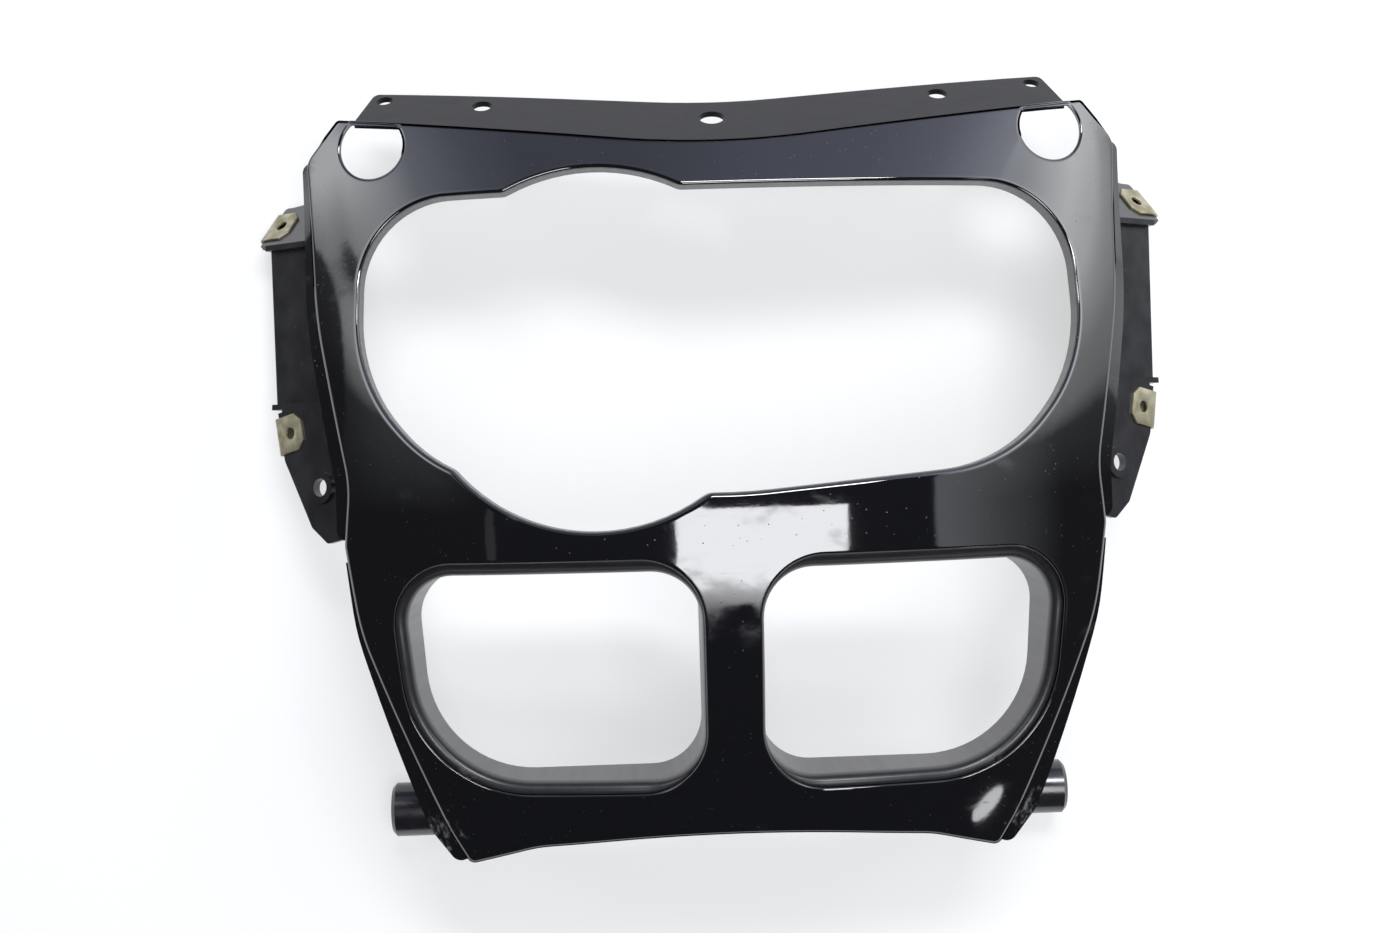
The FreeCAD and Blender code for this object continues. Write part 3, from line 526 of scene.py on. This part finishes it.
intake_right = closed_loop(rounded_path(INTAKE_CORNERS))
intake_left = other_hand(intake_right)
crease_up = Vector((-crease_slope, 1.0)).normalized()
crease_gap = (Vector(on_crease[:2]) - CORNER_HOLE).dot(crease_up) - CORNER_RIM
chord_half = math.acos(crease_gap / CORNER_RADIUS)
crease_turn = heading(crease_up)
half_way = crease_turn + math.pi
corner_right = closed_loop(
    arc(CORNER_HOLE, CORNER_RADIUS, crease_turn + chord_half, half_way)
    + arc(CORNER_HOLE, CORNER_RADIUS, half_way, crease_turn - chord_half))
openings = [lamp_loop, intake_right, intake_left, corner_right, other_hand(corner_right)]
print("openings:", len(openings))

# %% [markdown]
# ## Rolled rims
# A moulded edge is never sharp: paint pulls away from it and the light runs along it as a thin
# bright line. Each loop gets a quarter-round rim, and the lamp opening a fuller one. The rim starts
# one radius away from the edge, on the crown, and turns down into the wall below. A bevel modifier
# could round the edges of a solid, but it would not keep the crown even beside them. A narrow
# support strip before each rim keeps the shading of the turn off the face.

# %% Where the rims start
RIM = 1.6
LAMP_RIM = 2.4
SUPPORT = 0.8


def side_normals(loop):
    """Unit vectors square to a loop, to its right as it runs."""
    normals = []
    for i in range(len(loop)):
        run = loop[(i + 1) % len(loop)] - loop[i - 1]
        normals.append(Vector((run.y, -run.x)).normalized())
    return normals


def shifted(loop, normals, distance):
    """A loop moved along its normals."""
    return [point + normal * distance for point, normal in zip(loop, normals)]


loops = [face_loop] + openings
towards_face = [[-normal for normal in side_normals(face_loop)]]
towards_face += [side_normals(loop) for loop in openings]
rim_radii = [LAMP_RIM if loop is lamp_loop else RIM for loop in loops]
rims = []
for loop, normals, radius in zip(loops, towards_face, rim_radii):
    rims.append(shifted(loop, normals, radius + SUPPORT))
rim_points = np.array([tuple(point) for rim in rims for point in rim])
print("points along the rims:", len(rim_points))

# %% [markdown]
# The face between the rims is covered with points in even rows, each row shifted by half a step,
# which makes triangles with equal sides. Points off the face, or too close to a rim, are left out.

# %% Points of the face
LATTICE = 3.2
PLAN_CORNER = (-230.0, -215.0)
PLAN_SIZE = (460.0, 430.0)
RIM_CLEARANCE = 0.7 * LATTICE
BATCHES = 40


def is_inside(points, loop):
    """Which of many points lie in a loop: a ray from inside crosses it an odd number of times."""
    odd = np.zeros(len(points), dtype=bool)
    for i, first in enumerate(loop):
        second = loop[(i + 1) % len(loop)]
        if first.y != second.y:
            between = (points[:, 1] > first.y) != (points[:, 1] > second.y)
            cross = first.x + (points[:, 1] - first.y) * (second.x - first.x) / (second.y - first.y)
            odd ^= between & (points[:, 0] < cross)
    return odd


def on_face(points):
    """Which of many points lie on the painted face, clear of its openings."""
    keep = is_inside(points, rims[0])
    for rim in rims[1:]:
        keep &= ~is_inside(points, rim)
    return keep


row_step = LATTICE * math.sqrt(3) / 2
columns = range(int(PLAN_SIZE[0] / LATTICE))
lattice = []
for row in range(int(PLAN_SIZE[1] / row_step)):
    start = PLAN_CORNER[0] + LATTICE / 2 * (row % 2)
    lattice += [(start + LATTICE * column, PLAN_CORNER[1] + row_step * row) for column in columns]
lattice = np.array(lattice)
lattice = lattice[on_face(lattice)]
nearest = []
for part in np.array_split(lattice, BATCHES):
    gaps = part[:, None, :] - rim_points[None, :, :]
    nearest.append(np.sqrt((gaps ** 2).sum(axis=2)).min(axis=1))
lattice = lattice[np.concatenate(nearest) > RIM_CLEARANCE]
print("lattice points:", len(lattice))

# %% [markdown]
# A Delaunay fill joins all the points to triangles that are as even as they can be, and it keeps
# the rims as edges. It also fills the openings, so the triangles there are dropped.

# %% Triangles between the rims
ALL_TRIANGLES = 0
MERGE_WITHIN = 1e-4

flat_points = [Vector(point) for point in rim_points] + [Vector(point) for point in lattice]
rim_edges = []
for rim in rims:
    offset = len(rim_edges)
    rim_edges += [(offset + i, offset + (i + 1) % len(rim)) for i in range(len(rim))]
filled = delaunay_2d_cdt(flat_points, rim_edges, [], ALL_TRIANGLES, MERGE_WITHIN)
filled_points, _, filled_faces, sources, _, _ = filled
place_of = {source: i for i, group in enumerate(sources) for source in group}
corner_sets = np.array([[tuple(filled_points[i]) for i in face] for face in filled_faces])
kept = on_face(corner_sets.mean(axis=1))
face_triangles = [face for face, keep in zip(filled_faces, kept) if keep]
print("triangles on the face:", len(face_triangles))

# %% [markdown]
# Now every point is lifted on to the crown, a hair under it so that the face stays inside the
# measured box. From each rim a few rings turn down through a quarter circle.

# %% The face as a mesh
EASE = 0.12
RIM_STEPS = 6


def lifted(point, depth=0.0):
    """A point of the plan a hair under the crown, or a depth below it, in metres."""
    return Vector((point.x, point.y + SEAT_Y, face_height(point.x, point.y) - depth - EASE)) * MM


def join_rings(mesh, upper, lower):
    """A band of four-sided faces between two rings of corners."""
    for i in range(len(upper)):
        j = (i + 1) % len(upper)
        mesh.faces.new((upper[i], upper[j], lower[j], lower[i]))


def as_object(mesh, name):
    """Turn an edited mesh into an object of the scene."""
    data = bpy.data.meshes.new(name)
    mesh.to_mesh(data)
    mesh.free()
    made = bpy.data.objects.new(name, data)
    scene.collection.objects.link(made)
    return made


face_mesh = bmesh.new()
face_verts = [face_mesh.verts.new(lifted(point)) for point in filled_points]
for triangle in face_triangles:
    face_mesh.faces.new([face_verts[i] for i in triangle])
offset = 0
for loop, normals, radius in zip(loops, towards_face, rim_radii):
    ring = [face_verts[place_of[offset + i]] for i in range(len(loop))]
    offset += len(loop)
    for step in range(RIM_STEPS + 1):
        turn = math.pi / 2 * step / RIM_STEPS
        depth = radius * (1 - math.cos(turn))
        spots = shifted(loop, normals, radius * (1 - math.sin(turn)))
        lower = [face_mesh.verts.new(lifted(spot, depth)) for spot in spots]
        join_rings(face_mesh, ring, lower)
        ring = lower
loose = [vert for vert in face_mesh.verts if not vert.link_faces]
bmesh.ops.delete(face_mesh, geom=loose, context="VERTS")
bmesh.ops.recalc_face_normals(face_mesh, faces=face_mesh.faces)
painted_face = as_object(face_mesh, "painted_face")
painted_mesh = painted_face.data
top_faces = sum(polygon.normal.z > 0 for polygon in painted_mesh.polygons)
if top_faces < len(painted_mesh.polygons) / 2:
    painted_mesh.flip_normals()
print("painted face:", len(painted_mesh.polygons), "faces")

# %% [markdown]
# Inside each intake a ledge runs round below the rim, and rolls over into the wall of the duct. It
# is drawn the same way: from every point of the mouth one step inwards to the ledge's inner edge,
# with a quarter of an ellipse between them.

# %% Rolled ledges
LEDGE_CORNERS = [
    (90.0, -49.5, 0.0),
    (15.0, -49.5, 24.0),
    (15.0, -154.5, 26.0),
    (153.5, -154.5, 56.0),
    (161.5, -49.5, 24.0),
    (90.0, -49.5, 0.0),
]
LEDGE_DROP = 5.0
LEDGE_ROLL = 9.0
ROLL_STEPS = 8
FAR = 30.0


def first_hit(point, direction, loop):
    """Where a straight line from a point first meets a loop."""
    ends = zip(loop, loop[1:] + loop[:1])
    hits = [intersect_line_line_2d(point, point + direction * FAR, *pair) for pair in ends]
    return min((hit for hit in hits if hit), key=lambda hit: (hit - point).length)


ledge_right = closed_loop(rounded_path(LEDGE_CORNERS))
roll_mesh = bmesh.new()
for mouth, inner in ((intake_right, ledge_right), (intake_left, other_hand(ledge_right))):
    normals = side_normals(mouth)
    steps_in = [first_hit(point, -normal, inner) - point for point, normal in zip(mouth, normals)]
    ring = [roll_mesh.verts.new(lifted(point, LEDGE_DROP)) for point in mouth]
    for step in range(1, ROLL_STEPS + 1):
        turn = math.pi / 2 * step / ROLL_STEPS
        depth = LEDGE_DROP + LEDGE_ROLL * (1 - math.cos(turn))
        spots = shifted(mouth, steps_in, math.sin(turn))
        lower = [roll_mesh.verts.new(lifted(spot, depth)) for spot in spots]
        join_rings(roll_mesh, ring, lower)
        ring = lower
rolled_ledges = as_object(roll_mesh, "rolled_ledges")
ledge_mesh = rolled_ledges.data
print("rolled ledges:", len(ledge_mesh.polygons), "faces")

# %% [markdown]
# ## The rest of the moulding
# The walls, lips, ducts, flanges and pegs are right in the solid, so they are taken over from a
# copy of it. The solid is a heap of loose triangles, so the copy is welded first. Its own top faces
# and ledges go, because the drawn ones stand for them.

# %% Copy of the solid
WELD = 0.00002
CROWN_GAP = 0.6
FACES_UP = 0.5


def start_edit(piece):
    """Make one piece active and open it in edit mode."""
    wipe_selection()
    bpy.context.view_layer.objects.active = piece
    piece.select_set(True)
    bpy.ops.object.mode_set(mode="EDIT")


def copy_of_solid(node, name):
    """A welded copy of one solid, open in edit mode and selected all over."""
    copied = bpy.data.objects.new(name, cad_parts[node].data.copy())
    scene.collection.objects.link(copied)
    start_edit(copied)
    bpy.ops.mesh.select_all(action="SELECT")
    bpy.ops.mesh.remove_doubles(threshold=WELD)
    bpy.ops.mesh.customdata_custom_splitnormals_clear()
    return copied


def crown_gap(point):
    """How far a point of a mesh lies under the crown, in millimetres."""
    return face_height(point.x / MM, point.y / MM - SEAT_Y) - point.z / MM


def plan_places(items):
    """Where many points lie in the plan of the outlines, in millimetres."""
    return np.array([(item.x / MM, item.y / MM - SEAT_Y) for item in items])


def in_intakes(points, margin=0.0):
    """Which of many points of the plan lie in the mouth of an intake, clear of it by a margin."""
    inside = np.zeros(len(points), dtype=bool)
    for mouth in (intake_right, intake_left):
        inside |= is_inside(points, shifted(mouth, side_normals(mouth), -margin))
    return inside


moulding = copy_of_solid("fairing_panel", "fairing_moulding")
moulding_mesh = moulding.data
bpy.ops.mesh.select_all(action="DESELECT")
bpy.ops.object.mode_set(mode="OBJECT")
middles = plan_places([polygon.center for polygon in moulding_mesh.polygons])
for polygon, on_ledge in zip(moulding_mesh.polygons, in_intakes(middles)):
    level = LEDGE_DROP if on_ledge else 0.0
    corner_gaps = [abs(crown_gap(moulding_mesh.vertices[i].co) - level) for i in polygon.vertices]
    polygon.select = max(corner_gaps) < CROWN_GAP and polygon.normal.z > FACES_UP
start_edit(moulding)
bpy.ops.mesh.delete(type="FACE")
bpy.ops.object.mode_set(mode="OBJECT")
print("faces kept from the solid:", len(moulding_mesh.polygons))

# %% [markdown]
# The walls still reach up to the crown. Their upper corners are moved down to the foot of the
# rolled rims, and those of the ducts to the foot of the rolled ledges, so that each wall starts
# where the drawn surface ends.

# %% Walls trimmed
NEAR = 0.3
MARGIN = 0.5


def corners_at(depth):
    """Corners of the moulding at one depth under the crown."""
    return [vertex for vertex in moulding_mesh.vertices if abs(crown_gap(vertex.co) - depth) < NEAR]


lamp_outside = shifted(lamp_loop, side_normals(lamp_loop), MARGIN)
rim_corners = corners_at(0.0)
at_lamp = is_inside(plan_places([vertex.co for vertex in rim_corners]), lamp_outside)
for vertex, lamp in zip(rim_corners, at_lamp):
    vertex.co.z += (crown_gap(vertex.co) - (LAMP_RIM if lamp else RIM)) * MM
ledge_corners = corners_at(LEDGE_DROP)
at_ledge = in_intakes(plan_places([vertex.co for vertex in ledge_corners]), MARGIN)
for vertex, lowered in zip(ledge_corners, at_ledge):
    if lowered:
        vertex.co.z -= LEDGE_ROLL * MM
print("wall corners trimmed:", len(rim_corners), "at rims,", at_ledge.sum(), "at ledges")

# %% [markdown]
# ## Finishes
# Used bodywork is never one even colour. Three patterns make up the wear here: clouds of soft
# noise for smears and streaks, round specks for dust, and a mask that keeps scuffs near one spot.
# All of them read the place on the part in metres, so a pattern stays put from every side.


# %% Patterns
def place_on_part(tree):
    """Where a point lies on the part, in metres."""
    return add_node(tree, "ShaderNodeTexCoord").outputs["Object"]


def clouds(tree, place, scale, detail=4.0, stretch=(1.0, 1.0, 1.0)):
    """Soft noise from 0 to 1; a stretch above 1 packs it tighter along that axis."""
    stretched = add_node(tree, "ShaderNodeMapping", {"Vector": place, "Scale": stretch}).outputs[0]
    plugs = {"Vector": stretched, "Scale": scale, "Detail": detail}
    return add_node(tree, "ShaderNodeTexNoise", plugs).outputs[0]


def specks(tree, place, scale, size, share):
    """Round specks: some of the cells of a Voronoi pattern get one dot each."""
    cells = add_node(tree, "ShaderNodeTexVoronoi", {"Vector": place, "Scale": scale})
    draw = add_node(tree, "ShaderNodeSeparateColor", {0: cells.outputs["Color"]}).outputs[0]
    dot = fade(tree, cells.outputs["Distance"], size * 0.6, size, 1.0, 0.0)
    return product(tree, dot, reckon(tree, "LESS_THAN", draw, share))


def near_spot(tree, place, spot, reach):
    """1 round a spot of the plan, on either side, fading to 0 at some reach from it."""
    axes = add_node(tree, "ShaderNodeSeparateXYZ", {0: place}).outputs
    flat = {0: reckon(tree, "ABSOLUTE", axes["X"]), 1: axes["Y"]}
    ends = {0: add_node(tree, "ShaderNodeCombineXYZ", flat).outputs[0], 1: (*spot, 0.0)}
    gap = add_node(tree, "ShaderNodeVectorMath", ends, operation="DISTANCE").outputs["Value"]
    return fade(tree, gap, reach * 0.25, reach, 1.0, 0.0)


def tint(tree, shader, amount, first, second):
    """Colour the shader between two colours, by an amount from 0 to 1."""
    tree.links.new(mixed_colour(tree, amount, first, second), shader.inputs["Base Color"])


def emboss(tree, shader, height, strength, depth):
    """Raise fine relief on the shader from a height between 0 and 1."""
    plugs = {"Strength": strength, "Distance": depth, "Height": height}
    tree.links.new(add_node(tree, "ShaderNodeBump", plugs).outputs[0], shader.inputs["Normal"])


# %% [markdown]
# The face is gloss black with a clear coat. Its surface is nearly a mirror, so wear shows as places
# where the mirror is dull: dust specks, smears from wiping, fine hairlines, and pale scuffs on the
# lower corners. The clear coat is given by a high specular level, the same all over. Each kind of
# wear adds its share to the roughness.

# %% Gloss black
LOWER_CORNER = (0.1545, -0.1875)
BRIDGE_SPOT = (0.0, -0.068)
POLISH = 0.045

gloss_black, gloss_shader = new_material("gloss_black_paint", (0.004, 0.004, 0.005), 0.05)
gloss_shader.inputs["Specular IOR Level"].default_value = 1.0
gloss_shader.inputs["IOR"].default_value = 1.6
gloss = gloss_black.node_tree
place = place_on_part(gloss)
fine_dust = specks(gloss, place, scale=300.0, size=0.12, share=0.3)
coarse_dust = specks(gloss, place, scale=130.0, size=0.065, share=0.4)
dust = reckon(gloss, "MAXIMUM", fine_dust, coarse_dust)
wiped = product(gloss, near_spot(gloss, place, BRIDGE_SPOT, reach=0.035), 0.2)
smear_noise = clouds(gloss, place, scale=42.0, detail=7.0, stretch=(1.0, 1.5, 1.0))
smear = fade(gloss, reckon(gloss, "ADD", smear_noise, wiped), 0.56, 0.82)
line_noise = clouds(gloss, place, scale=34.0, detail=3.0, stretch=(1.0, 24.0, 6.0))
hairlines = fade(gloss, line_noise, 0.66, 0.74)
scraped = product(gloss, near_spot(gloss, place, LOWER_CORNER, reach=0.024), 0.27)
scuff_noise = clouds(gloss, place, scale=300.0, detail=12.0, stretch=(1.3, 0.4, 1.0))
scuffs = fade(gloss, reckon(gloss, "ADD", scuff_noise, scraped), 0.68, 1.0)
dull = product(gloss, smear, 0.22)
for wear, share in ((hairlines, 0.08), (dust, 0.45), (scuffs, 0.5)):
    dull = reckon(gloss, "ADD", dull, product(gloss, wear, share))
gloss.links.new(reckon(gloss, "ADD", dull, POLISH), gloss_shader.inputs["Roughness"])
pale = reckon(gloss, "MAXIMUM", product(gloss, dust, 0.08), scuffs)
tint(gloss, gloss_shader, pale, (0.003, 0.003, 0.004), (0.11, 0.11, 0.11))
ripple = clouds(gloss, place, scale=420.0, detail=2.0)
emboss(gloss, gloss_shader, ripple, strength=0.02, depth=0.0002)
print("gloss black:", len(gloss.nodes), "nodes")

# %% [markdown]
# Bare plastic is satin. The walls of the ducts and the lip were drawn off a mould, which leaves fine
# streaks along the depth. The strip under the screen is duller, with an even grain and more dust.
# The flanges and pegs are the same plastic, but smoother. One recipe serves all three: two shades,
# a range of dullness, the stretch of the streaks, some dust and a shine.


# %% Black plastics
def plastic(name, shades, dullness, stretch, dust_share, shine):
    """Moulded black plastic: streaks in colour and roughness, dust, and a fine grain."""
    material, shader = new_material(name, shades[0], dullness[0])
    shader.inputs["Specular IOR Level"].default_value = shine
    tree = material.node_tree
    place = place_on_part(tree)
    streaks = fade(tree, clouds(tree, place, scale=260.0, stretch=stretch), 0.1, 0.9)
    dust = specks(tree, place, scale=300.0, size=0.12, share=dust_share)
    rough = fade(tree, streaks, 0.0, 1.0, *dullness)
    rough = reckon(tree, "MAXIMUM", rough, product(tree, dust, 0.6))
    tree.links.new(rough, shader.inputs["Roughness"])
    tint(tree, shader, reckon(tree, "MAXIMUM", product(tree, streaks, 0.5), dust), *shades)
    grain = clouds(tree, place, scale=1500.0, detail=2.0)
    emboss(tree, shader, grain, strength=0.10, depth=0.0001)
    return material


satin_black = plastic(
    "satin_black_plastic", shades=((0.018, 0.018, 0.020), (0.032, 0.032, 0.035)),
    dullness=(0.31, 0.35), stretch=(1.0, 1.0, 0.03), dust_share=0.2, shine=0.6)
strip_black = plastic(
    "strip_black_plastic", shades=((0.007, 0.007, 0.009), (0.020, 0.020, 0.024)),
    dullness=(0.36, 0.46), stretch=(0.3, 1.0, 1.0), dust_share=0.4, shine=0.32)
flange_black = plastic(
    "flange_black_plastic", shades=((0.010, 0.010, 0.012), (0.028, 0.028, 0.032)),
    dullness=(0.19, 0.25), stretch=(0.3, 0.3, 0.3), dust_share=0.2, shine=1.0)
print("plastics:", satin_black.name, strip_black.name, flange_black.name)

# %% [markdown]
# The clip nuts are spring steel with a thin olive-gold passivation. The film is uneven: paler where
# it is thin, brown where it has stained, and dull all over.

# %% Passivated steel
gold_steel, gold_shader = new_material("gold_passivated_steel", (0.30, 0.28, 0.19), 0.45)
gold_shader.inputs["Metallic"].default_value = 0.75
gold = gold_steel.node_tree
place = place_on_part(gold)
film = fade(gold, clouds(gold, place, scale=110.0, detail=6.0), 0.3, 0.7)
tint(gold, gold_shader, film, (0.29, 0.26, 0.155), (0.52, 0.49, 0.37))
gold.links.new(fade(gold, film, 0.0, 1.0, 0.56, 0.38), gold_shader.inputs["Roughness"])
grain = clouds(gold, place, scale=1800.0, detail=3.0)
emboss(gold, gold_shader, grain, strength=0.15, depth=0.0001)
print("finishes:", len(bpy.data.materials))

# %% [markdown]
# Each face of the moulding takes its finish from where it lies: beyond the crease is the strip,
# inside the openings and behind the face is bare satin, low down at the sides are the flanges and
# pegs, and all the rest is painted.

# %% Which finish goes where
GLOSS, SATIN, STRIP, FLANGE = range(4)
STRIP_END = 190.0
STRIP_START = 1.0
DUCT_GAP = LEDGE_DROP + 0.5
FLANGE_START = 150.0
FLANGE_GAP = 9.0
FACES_DOWN = -0.2

moulding_mesh.materials.clear()
for finish in (gloss_black, satin_black, strip_black, flange_black):
    moulding_mesh.materials.append(finish)
painted_mesh.materials.append(gloss_black)
ledge_mesh.materials.append(satin_black)
middles = plan_places([polygon.center for polygon in moulding_mesh.polygons])
in_lamp = is_inside(middles, lamp_outside)
in_duct = in_intakes(middles)
for polygon, spot, duct, lamp in zip(moulding_mesh.polygons, middles, in_duct, in_lamp):
    gap = crown_gap(polygon.center)
    x = abs(spot[0])
    crease_y = CREASE_MIDDLE[1] + crease_slope * x
    if spot[1] > crease_y + STRIP_START and x < STRIP_END:
        polygon.material_index = STRIP
    elif (duct and gap > DUCT_GAP) or lamp or polygon.normal.z < FACES_DOWN:
        polygon.material_index = SATIN
    elif x > FLANGE_START and gap > FLANGE_GAP:
        polygon.material_index = FLANGE
    else:
        polygon.material_index = GLOSS
print("finishes on the moulding:", len(moulding_mesh.materials))

# %% [markdown]
# The drawn face, the drawn ledges and the walls are one moulding, so they are joined. Smooth
# shading stops at sharp turns. A weighted normal modifier then lets the large faces set the
# shading beside the small ones of a rim, which keeps reflections straight up to the edge.

# %% One moulding
SHARP_TURN = math.radians(32)

wipe_selection()
for piece in (painted_face, rolled_ledges, moulding):
    piece.select_set(True)
bpy.context.view_layer.objects.active = moulding
bpy.ops.object.join()
bpy.ops.object.shade_smooth_by_angle(angle=SHARP_TURN)
even_shading = moulding.modifiers.new("even_shading", "WEIGHTED_NORMAL")
even_shading.weight = 100
even_shading.keep_sharp = True
bpy.ops.object.modifier_apply(modifier=even_shading.name)
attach(moulding, "root")
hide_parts("fairing_panel")
print("moulding:", len(moulding.data.polygons), "faces")

# %% [markdown]
# ## Clip nuts
# Each nut is a folded piece of spring steel. The solid has its form, so a copy of it only gets
# its sheared edges softened with a small bevel, which catches the light. A bevel needs clean faces,
# so the triangles are first joined to quads and flat faces.

# %% Clip nuts
EDGE_WIDTH = 0.0003
FLAT_WITHIN = math.radians(2)
EDGE_ANGLE = math.radians(50)
FOLD_ANGLE = math.radians(35)

nuts = copy_of_solid("clip_nuts", "clip_nut_set")
nut_mesh = nuts.data
bpy.ops.mesh.tris_convert_to_quads(face_threshold=0.02, shape_threshold=0.5)
bpy.ops.mesh.dissolve_limited(angle_limit=FLAT_WITHIN)
bpy.ops.object.mode_set(mode="OBJECT")
soften = nuts.modifiers.new("soft_edges", "BEVEL")
soften.width = EDGE_WIDTH
soften.segments = 2
soften.limit_method = "ANGLE"
soften.angle_limit = EDGE_ANGLE
bpy.ops.object.modifier_apply(modifier=soften.name)
bpy.ops.object.shade_smooth_by_angle(angle=FOLD_ANGLE)
nut_mesh.materials.clear()
nut_mesh.materials.append(gold_steel)
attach(nuts, "root")
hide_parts("clip_nuts")
print("nuts:", len(nut_mesh.polygons), "faces")
